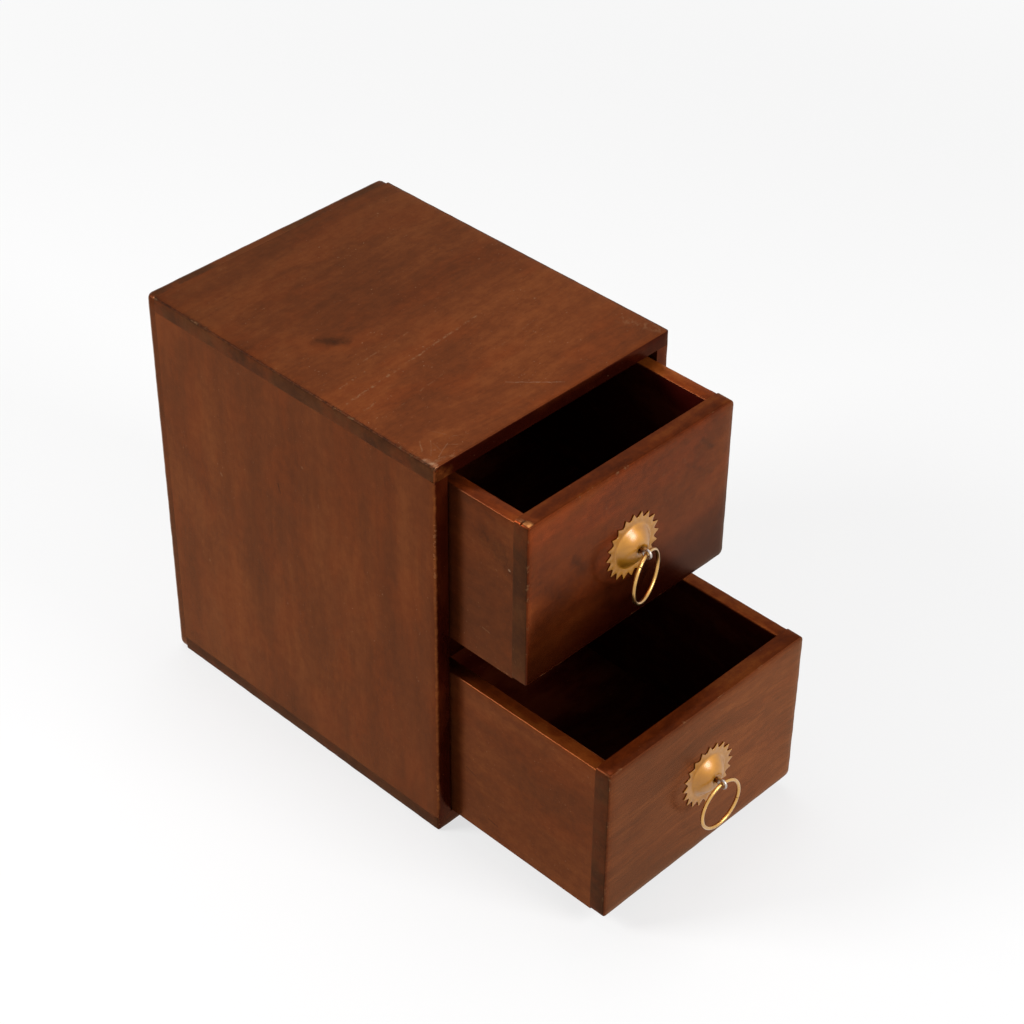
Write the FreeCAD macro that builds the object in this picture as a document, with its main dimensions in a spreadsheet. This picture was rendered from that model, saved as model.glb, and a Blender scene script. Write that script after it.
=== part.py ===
import FreeCAD, Part
import math
import os
import re

import Sketcher

# A small wooden box with two drawers, butt-jointed and pinned, each drawer with a brass ring pull.
# Millimetres, +Z up, the drawers open towards -Y.
# The origin is the centre of the underside. Both drawers stand partly open.

SIZES = [
    # case
    ("case_width", 105.5),
    ("case_depth", 135.8),
    ("case_height", 152.0),
    ("side_board", 5.6),
    ("top_board", 5.6),
    ("bottom_board", 5.6),
    ("back_board", 4.8),
    ("divider_board", 11.4),
    ("divider_setback", 3.0),
    ("lower_bay_height", 64.7),
    ("case_edge_radius", 0.8),
    ("back_edge_radius", 2.4),
    # drawers
    ("drawer_side_gap", 0.45),
    ("drawer_floor_gap", 0.25),
    ("drawer_head_gap", 1.85),
    ("drawer_back_gap", 1.0),
    ("drawer_front_board", 6.1),
    ("drawer_side_board", 5.6),
    ("drawer_back_board", 5.6),
    ("drawer_bottom_board", 3.0),
    ("drawer_edge_radius", 0.6),
    ("front_rim_radius", 0.8),
    ("front_left_corner_radius", 1.2),
    ("front_right_corner_radius", 2.2),
    ("front_overhang", 0.3),
    ("front_rise", 1.2),
    ("groove_depth", 2.4),
    ("groove_height", 3.0),
    ("groove_gap", 0.1),
    ("upper_opening", 33.3),
    ("lower_opening", 69.2),
    # pins
    ("pin_diameter", 1.2),
    ("pin_length", 14.0),
    ("pin_cover", 0.8),
    ("pin_gap", 0.03),
    ("pin_inset", 12.0),
    # pulls
    ("plate_radius", 12.1),
    ("plate_sheet", 0.5),
    ("plate_teeth", 20),
    ("plate_hole_gap", 0.15),
    ("tooth_length", 2.0),
    ("tooth_tip", 0.12),
    ("dome_radius", 8.0),
    ("dome_height", 4.0),
    ("eye_wire", 0.95),
    ("eye_hole_radius", 1.05),
    ("eye_neck_radius", 0.8),
    ("eye_neck_gap", 0.35),
    ("eye_leg_spread", 4.5),
    ("eye_leg_gap", 0.1),
    ("ring_radius", 9.0),
    ("ring_wire", 1.25),
    ("ring_seam", 0.15),
    ("upper_pull_shift", 0.3),
    ("upper_pull_drop", 1.4),
    ("upper_ring_turn", 17.0),
    ("upper_seam_angle", 125.0),
    ("lower_pull_shift", 1.2),
    ("lower_pull_drop", 0.2),
    ("lower_ring_turn", 0.0),
    ("lower_seam_angle", 341.0),
]

doc = FreeCAD.newDocument("drawer_box")
sheet = doc.addObject("Spreadsheet::Sheet", "sizes")
for row, (alias, value) in enumerate(SIZES, start=1):
    sheet.set(f"A{row}", alias)
    sheet.set(f"B{row}", str(value))
    sheet.setAlias(f"B{row}", alias)
doc.recompute()

ALIASES = {alias for alias, value in SIZES}
PARTS = []
UP = FreeCAD.Vector(0, 0, 1)


def cell(alias):
    return float(sheet.get(alias))


def sized(formula):
    # A formula of cell names, as an expression that FreeCAD can bind to a property.
    return re.sub(r"[a-z_]+", lambda word: f"sizes.{word[0]}" if word[0] in ALIASES else word[0], formula)


def bind(thing, prop, formula):
    thing.setExpression(prop, sized(formula))


def place(thing, corner, prop="Placement"):
    for axis, formula in zip("xyz", corner):
        bind(thing, f"{prop}.Base.{axis}", formula)


def keep(thing, name):
    thing.Label = name
    PARTS.append(thing)
    return thing


def newBody(name):
    body = doc.addObject("PartDesign::Body", name)
    body.Label = name + "_stock"
    return body


def newSketch(body, name, plane):
    sketch = body.newObject("Sketcher::SketchObject", name)
    origin = [part for part in body.Origin.OriginFeatures if part.Role == plane][0]
    sketch.AttachmentSupport = [(origin, "")]
    sketch.MapMode = "FlatFace"
    return sketch


def drawnSize(sketch, kind, *geometry):
    if kind == "Radius":
        return sketch.Geometry[geometry[0]].Radius
    step = sketch.getPoint(*geometry[2:]) - sketch.getPoint(*geometry[:2])
    return step.x if kind == "DistanceX" else step.y


def constrain(sketch, name, formula, kind, *geometry):
    # A named dimension: it starts at the size drawn, and is then bound to the sheet.
    start = drawnSize(sketch, kind, *geometry)
    index = sketch.addConstraint(Sketcher.Constraint(kind, *geometry, start))
    sketch.renameConstraint(index, name)
    bind(sketch, f"Constraints.{name}", formula)


def drawRectangle(sketch, left, low, width, height):
    # The rectangle's lower left corner lies at (left, low) from the sketch's origin.
    points = [(1, 1), (2, 1), (2, 2), (1, 2)]
    for start, end in zip(points, points[1:] + points[:1]):
        sketch.addGeometry(Part.LineSegment(FreeCAD.Vector(*start, 0), FreeCAD.Vector(*end, 0)))
    for line in range(4):
        sketch.addConstraint(Sketcher.Constraint("Coincident", line, 2, (line + 1) % 4, 1))
    for line, kind in enumerate(["Horizontal", "Vertical", "Horizontal", "Vertical"]):
        sketch.addConstraint(Sketcher.Constraint(kind, line))
    constrain(sketch, "width", width, "DistanceX", 0, 1, 0, 2)
    constrain(sketch, "height", height, "DistanceY", 1, 1, 1, 2)
    constrain(sketch, "left", left, "DistanceX", -1, 1, 0, 1)
    constrain(sketch, "low", low, "DistanceY", -1, 1, 0, 1)


def padUp(body, sketch, name, height):
    pad = body.newObject("PartDesign::Pad", name)
    pad.Profile = sketch
    bind(pad, "Length", height)
    return pad


def mustCut(body, volume):
    # A cut that misses the wood leaves the volume as it was.
    doc.recompute()
    if body.Shape.Volume > volume - 1e-3:
        raise RuntimeError(f"{body.Name}: the cut removed nothing")


def board(name, corner, extent):
    # A board with its lowest corner at corner.
    body = newBody(name)
    sketch = newSketch(body, name + "_outline", "XY_Plane")
    drawRectangle(sketch, "0", "0", extent[0], extent[1])
    padUp(body, sketch, name + "_pad", extent[2])
    place(body, corner)
    doc.recompute()
    return body


def groove(body, corner, extent):
    # A groove for the drawer bottom, cut from corner up, in the board's own frame.
    volume = body.Shape.Volume
    sketch = newSketch(body, body.Name + "_groove_outline", "XY_Plane")
    drawRectangle(sketch, corner[0], corner[1], extent[0], extent[1])
    bind(sketch, "AttachmentOffset.Base.z", corner[2])
    pocket = body.newObject("PartDesign::Pocket", body.Name + "_groove")
    pocket.Profile = sketch
    pocket.Reversed = True
    bind(pocket, "Length", extent[2])
    mustCut(body, volume)


def roundOuter(body, faces, radius, suffix="edges"):
    # Rounds the edges where two of the named outer faces meet, such as "-x" and "+z".
    stock = body.Tip
    box = stock.Shape.BoundBox
    limits = {"-x": box.XMin, "+x": box.XMax, "-y": box.YMin, "+y": box.YMax, "-z": box.ZMin, "+z": box.ZMax}

    def onFace(edge, face):
        axis = "xyz".index(face[1])
        return all(abs(vertex.Point[axis] - limits[face]) < 1e-4 for vertex in edge.Vertexes)

    picked = [
        f"Edge{number}"
        for number, edge in enumerate(stock.Shape.Edges, start=1)
        if sum(onFace(edge, face) for face in faces) == 2
    ]
    fillet = body.newObject("PartDesign::Fillet", f"{body.Name}_{suffix}")
    fillet.Base = (stock, picked)
    bind(fillet, "Radius", radius)
    doc.recompute()


def roundRim(body, radius):
    # Rounds all round the rim of the foremost face.
    stock = body.Tip
    rim = min(stock.Shape.Faces, key=lambda face: face.BoundBox.YMax).OuterWire
    picked = [
        f"Edge{number}"
        for number, edge in enumerate(stock.Shape.Edges, start=1)
        if any(edge.isSame(part) for part in rim.Edges)
    ]
    fillet = body.newObject("PartDesign::Fillet", body.Name + "_rim")
    fillet.Base = (stock, picked)
    bind(fillet, "Radius", radius)
    doc.recompute()


def rod(name, start, direction, length, radius):
    # A round rod from start along one of the axes.
    turns = {
        "+z": (0, 0, 1, 0),
        "-z": (1, 0, 0, 180),
        "+x": (0, 1, 0, 90),
        "-x": (0, 1, 0, -90),
        "+y": (1, 0, 0, -90),
        "-y": (1, 0, 0, 90),
    }
    cylinder = doc.addObject("Part::Cylinder", name)
    bind(cylinder, "Radius", radius)
    bind(cylinder, "Height", length)
    turn = turns[direction]
    cylinder.Placement = FreeCAD.Placement(
        FreeCAD.Vector(0, 0, 0), FreeCAD.Rotation(FreeCAD.Vector(*turn[:3]), turn[3])
    )
    place(cylinder, start)
    return cylinder


def pinSet(name, pins):
    # The pins of one assembly, and the holes that they were driven into.
    rods = []
    for index, (start, way) in enumerate(pins):
        rods.append(rod(f"{name}_{index}", start, way, "pin_length", "pin_diameter / 2"))
    holes = [
        rod(f"{name}_hole_{i}", start, way, "pin_length", "pin_diameter / 2 + pin_gap")
        for i, (start, way) in enumerate(pins)
    ]
    group = doc.addObject("Part::Compound", name)
    group.Links = rods
    bores = doc.addObject("Part::Compound", name + "_holes")
    bores.Links = holes
    keep(group, name)
    return bores


def bored(body, bores):
    # The finished board: its stock less the pin holes that run through it.
    cut = doc.addObject("Part::Cut", body.Name + "_bored")
    cut.Base = body
    cut.Tool = bores
    return keep(cut, body.Name)


# ---- case ----

FRONT = "-case_depth / 2"
BACK = "case_depth / 2"
LEFT = "-case_width / 2"
INNER_BACK = f"({BACK} - back_board)"
INNER_DEPTH = "(case_depth - back_board)"
INNER_WIDTH = "(case_width - 2 * side_board)"
INNER_HEIGHT = "(case_height - top_board - bottom_board)"
SIDE_CENTRE = "(case_width / 2 - side_board / 2)"
DIVIDER_LOW = "(bottom_board + lower_bay_height)"
DIVIDER_MIDDLE = f"({DIVIDER_LOW} + divider_board / 2)"
UPPER_BAY_LOW = f"({DIVIDER_LOW} + divider_board)"


def caseBoards():
    top_corner = (LEFT, FRONT, "case_height - top_board")
    top = board("case_top", top_corner, ("case_width", INNER_DEPTH, "top_board"))
    roundOuter(top, ["-x", "+x", "-y", "+z"], "case_edge_radius")
    bottom = board("case_bottom", (LEFT, FRONT, "0"), ("case_width", INNER_DEPTH, "bottom_board"))
    roundOuter(bottom, ["-x", "+x", "-y", "-z"], "case_edge_radius")
    left = board("case_left_side", (LEFT, FRONT, "bottom_board"), ("side_board", INNER_DEPTH, INNER_HEIGHT))
    roundOuter(left, ["-x", "-y"], "case_edge_radius")
    right_corner = ("case_width / 2 - side_board", FRONT, "bottom_board")
    right = board("case_right_side", right_corner, ("side_board", INNER_DEPTH, INNER_HEIGHT))
    roundOuter(right, ["+x", "-y"], "case_edge_radius")
    back = board("case_back", (LEFT, INNER_BACK, "0"), ("case_width", "back_board", "case_height"))
    roundOuter(back, ["-x", "+x", "+y", "-z", "+z"], "back_edge_radius")
    divider_corner = ("side_board - case_width / 2", f"{FRONT} + divider_setback", DIVIDER_LOW)
    divider_extent = (INNER_WIDTH, f"{INNER_DEPTH} - divider_setback", "divider_board")
    divider = board("case_divider", divider_corner, divider_extent)
    return [top, bottom, left, right, back, divider]


def casePins():
    pins = []
    along = [f"{FRONT} + pin_inset", f"{FRONT} + {INNER_DEPTH} / 2", f"{INNER_BACK} - pin_inset"]
    for side in ("-1", "1"):
        for y in along:
            pins.append(((f"{side} * {SIDE_CENTRE}", y, "case_height - pin_cover"), "-z"))
            pins.append(((f"{side} * {SIDE_CENTRE}", y, "pin_cover"), "+z"))
        for height in ("0.3", "0.7"):
            pins.append(((f"{side} * {SIDE_CENTRE}", f"{BACK} - pin_cover", f"case_height * {height}"), "-y"))
    for z in ("case_height - top_board / 2", "bottom_board / 2"):
        pins.append((("0", f"{BACK} - pin_cover", z), "-y"))
    for y in (along[0], along[2]):
        pins.append(((f"{LEFT} + pin_cover", f"{y} + divider_setback", DIVIDER_MIDDLE), "+x"))
        pins.append((("case_width / 2 - pin_cover", f"{y} + divider_setback", DIVIDER_MIDDLE), "-x"))
    return pins


# ---- drawers ----

DRAWER_WIDTH = f"({INNER_WIDTH} - 2 * drawer_side_gap)"
BOX_WIDTH = f"({DRAWER_WIDTH} - 2 * front_overhang)"
BOX_INNER = f"({BOX_WIDTH} - 2 * drawer_side_board)"
DRAWER_DEPTH = f"({INNER_DEPTH} - drawer_back_gap)"
SIDE_LENGTH = f"({DRAWER_DEPTH} - drawer_front_board)"
GROOVE_LOW = "groove_height - groove_gap"
GROOVE_TALL = "(drawer_bottom_board + 2 * groove_gap)"
PANEL_REACH = "(groove_depth - groove_gap)"
BACK_LOW = "(groove_height + drawer_bottom_board)"


def drawerBoards(name, opening, floor, bay_height, shift, drop):
    front_height = f"({bay_height} - drawer_floor_gap - drawer_head_gap)"
    side_height = f"({front_height} - front_rise)"
    face = f"({FRONT} - {opening})"
    low = f"({floor} + drawer_floor_gap)"
    side_front = f"({face} + drawer_front_board)"

    front_corner = (f"-{DRAWER_WIDTH} / 2", face, low)
    front = board(f"{name}_drawer_front", front_corner, (DRAWER_WIDTH, "drawer_front_board", front_height))
    groove_side = "front_overhang + drawer_side_board - groove_depth"
    groove_corner = (groove_side, "drawer_front_board - groove_depth", GROOVE_LOW)
    groove(front, groove_corner, (f"{BOX_INNER} + 2 * groove_depth", "groove_depth", GROOVE_TALL))
    pullHole(front, f"{DRAWER_WIDTH} / 2 + {shift}", f"{front_height} / 2 - {drop}")
    left_corner = (f"-{BOX_WIDTH} / 2", side_front, low)
    right_corner = (f"{BOX_WIDTH} / 2 - drawer_side_board", side_front, low)
    side_extent = ("drawer_side_board", SIDE_LENGTH, side_height)
    left = board(f"{name}_drawer_left_side", left_corner, side_extent)
    right = board(f"{name}_drawer_right_side", right_corner, side_extent)
    groove_extent = ("groove_depth", SIDE_LENGTH, GROOVE_TALL)
    groove(left, ("drawer_side_board - groove_depth", "0", GROOVE_LOW), groove_extent)
    groove(right, ("0", "0", GROOVE_LOW), groove_extent)

    back_corner = (f"-{BOX_INNER} / 2", f"{face} + {DRAWER_DEPTH} - drawer_back_board", f"{low} + {BACK_LOW}")
    back_extent = (BOX_INNER, "drawer_back_board", f"{side_height} - {BACK_LOW}")
    back = board(f"{name}_drawer_back", back_corner, back_extent)

    panel_front = f"({side_front} - {PANEL_REACH})"
    panel_corner = (f"-{BOX_INNER} / 2 - {PANEL_REACH}", panel_front, f"{low} + groove_height")
    panel_width = f"{BOX_INNER} + 2 * {PANEL_REACH}"
    panel_extent = (panel_width, f"{SIDE_LENGTH} + {PANEL_REACH}", "drawer_bottom_board")
    panel = board(f"{name}_drawer_bottom", panel_corner, panel_extent)

    roundOuter(front, ["-x", "-z", "+z"], "front_left_corner_radius", "left_corners")
    roundOuter(front, ["+x", "-z", "+z"], "front_right_corner_radius", "right_corners")
    roundRim(front, "front_rim_radius")
    for side in (left, right):
        roundOuter(side, ["-x", "+x", "+z"], "drawer_edge_radius")
    roundOuter(back, ["-y", "+y", "+z"], "drawer_edge_radius")
    return [front, left, right, back, panel]


def drawerPins(opening, floor, bay_height):
    face = f"({FRONT} - {opening})"
    low = f"({floor} + drawer_floor_gap)"
    back_middle = f"{face} + {DRAWER_DEPTH} - drawer_back_board / 2"
    pins = []
    for side, way in (("-1", "+x"), ("1", "-x")):
        board_middle = f"{side} * ({BOX_WIDTH} / 2 - drawer_side_board / 2)"
        outside = f"{side} * ({BOX_WIDTH} / 2 - pin_cover)"
        for share in ("0.3", "0.7"):
            pins.append(((board_middle, f"{face} + pin_cover", f"{low} + {bay_height} * {share}"), "+y"))
            pins.append(((outside, back_middle, f"{low} + {bay_height} * {share}"), way))
        across = f"{side} * {BOX_INNER} / 4"
        pins.append(((across, back_middle, f"{low} + groove_height + pin_cover"), "+z"))
    return pins


# ---- pulls ----
# A pull is drawn in its own frame: +Z out of the drawer front, +Y up, the front's face at Z = 0.

NECK_HEIGHT = "(dome_height + eye_neck_gap)"
EYE_RADIUS = "(eye_hole_radius + eye_wire / 2)"
EYE_HEIGHT = (
    f"({NECK_HEIGHT} + sqrt(({EYE_RADIUS} + eye_neck_radius) ^ 2 - (eye_wire / 2 + eye_neck_radius) ^ 2))"
)
DOME_RISE = "(dome_height - plate_sheet)"
DOME_SPHERE = f"((dome_radius ^ 2 + {DOME_RISE} ^ 2) / (2 * {DOME_RISE}))"
PULL_HOLE = "(1.5 * eye_wire)"
PLATE_HOLE = "(eye_wire + plate_hole_gap)"
TOOTH_HALF = "(plate_radius * sin(180 / plate_teeth) - tooth_tip / 2)"
TOOTH_CHORD = "(plate_radius * cos(180 / plate_teeth) - plate_radius + tooth_length)"
NOTCH_MOUTH = f"(4 * tooth_length * {TOOTH_HALF} / {TOOTH_CHORD})"
LEG_DEPTH = "(drawer_front_board + eye_leg_gap + eye_wire / 2)"
LEG_REACH = "(1.5 * eye_wire + eye_leg_spread)"


def pullCentre(opening, floor, bay_height, shift, drop):
    middle = f"{floor} + drawer_floor_gap + ({bay_height} - drawer_floor_gap - drawer_head_gap) / 2"
    return (shift, f"{FRONT} - {opening}", f"{middle} - {drop}")


def facePull(body, centre):
    body.Placement = FreeCAD.Placement(FreeCAD.Vector(0, 0, 0), FreeCAD.Rotation(FreeCAD.Vector(1, 0, 0), 90))
    place(body, centre)


def pullHole(front, across, height):
    # The hole for the eye's legs.
    volume = front.Shape.Volume
    sketch = newSketch(front, front.Name + "_hole_outline", "XZ_Plane")
    sketch.addGeometry(Part.Circle(FreeCAD.Vector(20, 20, 0), UP, 1))
    constrain(sketch, "across", across, "DistanceX", -1, 1, 0, 3)
    constrain(sketch, "height", height, "DistanceY", -1, 1, 0, 3)
    constrain(sketch, "radius", PULL_HOLE, "Radius", 0)
    pocket = front.newObject("PartDesign::Pocket", front.Name + "_hole")
    pocket.Profile = sketch
    pocket.Type = "ThroughAll"
    pocket.Midplane = True
    mustCut(front, volume)


def pullPlate(name, centre):
    # A pressed sunburst: a hollow dome in a flat rim that is cut into pointed teeth.
    body = newBody(name)
    edge = cell("plate_radius")
    sheet_depth = cell("plate_sheet")
    rise = cell("dome_height") - sheet_depth
    sphere = (cell("dome_radius") ** 2 + rise**2) / (2 * rise)
    middle = FreeCAD.Vector(0, cell("dome_height") - sphere, 0)
    hole = cell("eye_wire") + cell("plate_hole_gap")
    outer = Part.Circle(middle, UP, sphere)
    inner = Part.Circle(middle, UP, sphere - sheet_depth)
    outer_span = (math.asin((sheet_depth - middle.y) / sphere), math.acos(hole / sphere))
    inner_span = (math.asin(-middle.y / inner.Radius), math.acos(hole / inner.Radius))
    outer_arc = Part.ArcOfCircle(outer, *outer_span)
    inner_arc = Part.ArcOfCircle(inner, *inner_span)
    rim_low = FreeCAD.Vector(edge, 0, 0)
    rim_high = FreeCAD.Vector(edge, sheet_depth, 0)

    profile = newSketch(body, name + "_profile", "XZ_Plane")
    profile.addGeometry(Part.LineSegment(rim_low, rim_high))
    profile.addGeometry(Part.LineSegment(rim_high, outer_arc.StartPoint))
    profile.addGeometry(outer_arc)
    profile.addGeometry(Part.LineSegment(outer_arc.EndPoint, inner_arc.EndPoint))
    profile.addGeometry(inner_arc)
    profile.addGeometry(Part.LineSegment(inner_arc.StartPoint, rim_low))
    joints = [(0, 2, 1, 1), (1, 2, 2, 1), (2, 2, 3, 1), (3, 2, 4, 2), (4, 1, 5, 1), (5, 2, 0, 1)]
    joints.append((2, 3, 4, 3))
    for joint in joints:
        profile.addConstraint(Sketcher.Constraint("Coincident", *joint))
    for line, kind in enumerate(["Vertical", "Horizontal", None, "Vertical", None, "Horizontal"]):
        if kind:
            profile.addConstraint(Sketcher.Constraint(kind, line))
    profile.addConstraint(Sketcher.Constraint("PointOnObject", 5, 2, -1))
    profile.addConstraint(Sketcher.Constraint("PointOnObject", 2, 3, -2))
    constrain(profile, "edge", "plate_radius", "DistanceX", -1, 1, 0, 1)
    constrain(profile, "depth", "plate_sheet", "DistanceY", 0, 1, 0, 2)
    constrain(profile, "dome", "dome_radius", "DistanceX", -1, 1, 2, 1)
    constrain(profile, "hole", PLATE_HOLE, "DistanceX", -1, 1, 3, 1)
    constrain(profile, "outside", DOME_SPHERE, "Radius", 2)
    constrain(profile, "inside", f"{DOME_SPHERE} - plate_sheet", "Radius", 4)
    turned = body.newObject("PartDesign::Revolution", name + "_dome")
    turned.Profile = profile
    turned.ReferenceAxis = (profile, ["V_Axis"])
    turned.Angle = 360
    doc.recompute()

    volume = body.Shape.Volume
    notch = newSketch(body, name + "_notch_outline", "XY_Plane")
    bind(notch, "AttachmentOffset.Rotation.Angle", "180 / plate_teeth")
    tip = FreeCAD.Vector(edge - 2, 0, 0)
    corners = [tip, FreeCAD.Vector(edge + 2, -2, 0), FreeCAD.Vector(edge + 2, 2, 0)]
    for start, end in zip(corners, corners[1:] + corners[:1]):
        notch.addGeometry(Part.LineSegment(start, end))
    for line in range(3):
        notch.addConstraint(Sketcher.Constraint("Coincident", line, 2, (line + 1) % 3, 1))
    notch.addConstraint(Sketcher.Constraint("PointOnObject", 0, 1, -1))
    notch.addConstraint(Sketcher.Constraint("Symmetric", 1, 1, 1, 2, -1))
    constrain(notch, "valley", "plate_radius - tooth_length", "DistanceX", -1, 1, 0, 1)
    constrain(notch, "reach", "plate_radius + tooth_length", "DistanceX", -1, 1, 1, 1)
    constrain(notch, "mouth", NOTCH_MOUTH, "DistanceY", 1, 1, 1, 2)
    pocket = body.newObject("PartDesign::Pocket", name + "_notch")
    pocket.Profile = notch
    pocket.Type = "ThroughAll"
    pocket.Midplane = True
    mustCut(body, volume)
    teeth = body.newObject("PartDesign::PolarPattern", name + "_teeth")
    teeth.Originals = [pocket]
    teeth.Axis = (notch, ["N_Axis"])
    teeth.Angle = 360
    bind(teeth, "Occurrences", "plate_teeth")
    body.Tip = teeth
    facePull(body, centre)
    return keep(body, name)


def pullEye(name, centre):
    # A split pin: one wire bent to an eye, its legs through the front and spread behind it.
    body = newBody(name)
    wire = cell("eye_wire")
    half = wire / 2
    neck = cell("eye_neck_radius")
    loop = cell("eye_hole_radius") + half
    low = -cell("drawer_front_board") - half - cell("eye_leg_gap")
    neck_height = cell("dome_height") + cell("eye_neck_gap")
    eye_height = neck_height + math.sqrt((loop + neck) ** 2 - (half + neck) ** 2)
    slope = math.atan2(eye_height - neck_height, half + neck)
    reach = half + wire + cell("eye_leg_spread")

    def point(across, height):
        return FreeCAD.Vector(across, height, 0)

    def arc(across, height, radius, start, end):
        return Part.ArcOfCircle(Part.Circle(point(across, height), UP, radius), start, end)

    spine = newSketch(body, name + "_spine", "YZ_Plane")
    half_turn = math.pi
    spine.addGeometry(Part.LineSegment(point(reach, low), point(half + wire, low)))
    spine.addGeometry(arc(half + wire, low + wire, wire, half_turn, 1.5 * half_turn))
    spine.addGeometry(Part.LineSegment(point(half, low + wire), point(half, neck_height)))
    spine.addGeometry(arc(half + neck, neck_height, neck, half_turn - slope, half_turn))
    spine.addGeometry(arc(0, eye_height, loop, -slope, half_turn + slope))
    spine.addGeometry(arc(-half - neck, neck_height, neck, 0, slope))
    spine.addGeometry(Part.LineSegment(point(-half, neck_height), point(-half, low + wire)))
    spine.addGeometry(arc(-half - wire, low + wire, wire, 1.5 * half_turn, 2 * half_turn))
    spine.addGeometry(Part.LineSegment(point(-half - wire, low), point(-reach, low)))
    for joint in [
        (0, 2, 1, 2), (1, 1, 2, 1), (2, 2, 3, 2), (3, 1, 4, 1),
        (4, 2, 5, 2), (5, 1, 6, 1), (6, 2, 7, 2), (7, 1, 8, 1),
    ]:
        spine.addConstraint(Sketcher.Constraint("Tangent", *joint))
    for line, kind in [(0, "Horizontal"), (2, "Vertical"), (6, "Vertical"), (8, "Horizontal")]:
        spine.addConstraint(Sketcher.Constraint(kind, line))
    spine.addConstraint(Sketcher.Constraint("PointOnObject", 4, 3, -2))
    constrain(spine, "upper_leg", "eye_wire / 2", "DistanceX", -1, 1, 2, 1)
    constrain(spine, "lower_leg", "eye_wire / 2", "DistanceX", 6, 1, -1, 1)
    constrain(spine, "upper_bend", "eye_wire", "Radius", 1)
    constrain(spine, "lower_bend", "eye_wire", "Radius", 7)
    constrain(spine, "upper_depth", LEG_DEPTH, "DistanceY", 0, 1, -1, 1)
    constrain(spine, "lower_depth", LEG_DEPTH, "DistanceY", 8, 2, -1, 1)
    constrain(spine, "upper_reach", LEG_REACH, "DistanceX", -1, 1, 0, 1)
    constrain(spine, "lower_reach", LEG_REACH, "DistanceX", 8, 2, -1, 1)
    constrain(spine, "upper_neck", "eye_neck_radius", "Radius", 3)
    constrain(spine, "lower_neck", "eye_neck_radius", "Radius", 5)
    constrain(spine, "loop", EYE_RADIUS, "Radius", 4)
    constrain(spine, "height", EYE_HEIGHT, "DistanceY", -1, 1, 4, 3)

    section = newSketch(body, name + "_section", "XZ_Plane")
    bind(section, "AttachmentOffset.Base.z", f"-{LEG_REACH}")
    section.addGeometry(Part.Circle(point(0, low), UP, half))
    section.addConstraint(Sketcher.Constraint("PointOnObject", 0, 3, -2))
    constrain(section, "depth", LEG_DEPTH, "DistanceY", 0, 3, -1, 1)
    constrain(section, "radius", "eye_wire / 2", "Radius", 0)
    pipe = body.newObject("PartDesign::AdditivePipe", name + "_wire")
    pipe.Profile = section
    pipe.Spine = (spine, [])
    facePull(body, centre)
    return keep(body, name)


def pullRing(name, centre, turn, seam_angle):
    # A wire ring hung in the eye, its ends butted at a fine seam.
    body = newBody(name)
    section = newSketch(body, name + "_section", "XZ_Plane")
    section.addGeometry(Part.Circle(FreeCAD.Vector(cell("ring_radius"), 0, 0), UP, cell("ring_wire") / 2))
    section.addConstraint(Sketcher.Constraint("PointOnObject", 0, 3, -1))
    constrain(section, "ring", "ring_radius", "DistanceX", -1, 1, 0, 3)
    constrain(section, "wire", "ring_wire / 2", "Radius", 0)
    turned = body.newObject("PartDesign::Revolution", name + "_wire")
    turned.Profile = section
    turned.ReferenceAxis = (section, ["V_Axis"])
    bind(turned, "Angle", "360 - ring_seam / ring_radius * 180 / pi")
    upright = FreeCAD.Rotation(FreeCAD.Vector(1, 0, 0), 90)
    attitude = FreeCAD.Rotation(UP, cell(turn)) * upright * FreeCAD.Rotation(UP, cell(seam_angle))
    body.Placement = FreeCAD.Placement(FreeCAD.Vector(0, 0, 0), attitude)
    place(body, (centre[0], f"{centre[1]} - {EYE_HEIGHT}", f"{centre[2]} - ring_radius"))
    return keep(body, name)


# ---- assembly ----


def drawer(name, floor, bay_height):
    opening = f"{name}_opening"
    shift = f"{name}_pull_shift"
    drop = f"{name}_pull_drop"
    boards = drawerBoards(name, opening, floor, bay_height, shift, drop)
    bores = pinSet(f"{name}_drawer_pins", drawerPins(opening, floor, bay_height))
    for stock in boards:
        bored(stock, bores)
    centre = pullCentre(opening, floor, bay_height, shift, drop)
    pullPlate(f"{name}_pull_plate", centre)
    pullEye(f"{name}_pull_eye", centre)
    pullRing(f"{name}_pull_ring", centre, f"{name}_ring_turn", f"{name}_seam_angle")


case_stock = caseBoards()
case_bores = pinSet("case_pins", casePins())
for stock in case_stock:
    bored(stock, case_bores)
drawer("lower", "bottom_board", "lower_bay_height")
drawer("upper", UPPER_BAY_LOW, f"(case_height - top_board - {UPPER_BAY_LOW})")
doc.recompute()

for thing in doc.Objects:
    if "Invalid" in thing.State or "Error" in thing.State:
        raise RuntimeError(f"{thing.Name} failed: {thing.State}")
for part in PARTS:
    if part.Shape.isNull() or not part.Shape.isValid():
        raise RuntimeError(f"{part.Label} has no valid shape")

os.makedirs("parts", exist_ok=True)
for part in PARTS:
    part.Shape.exportStep(f"parts/{part.Label}.step")
    print(f"{part.Label}: {len(part.Shape.Solids)} solid(s), {part.Shape.Volume:.1f} mm3")
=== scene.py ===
import math

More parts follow.
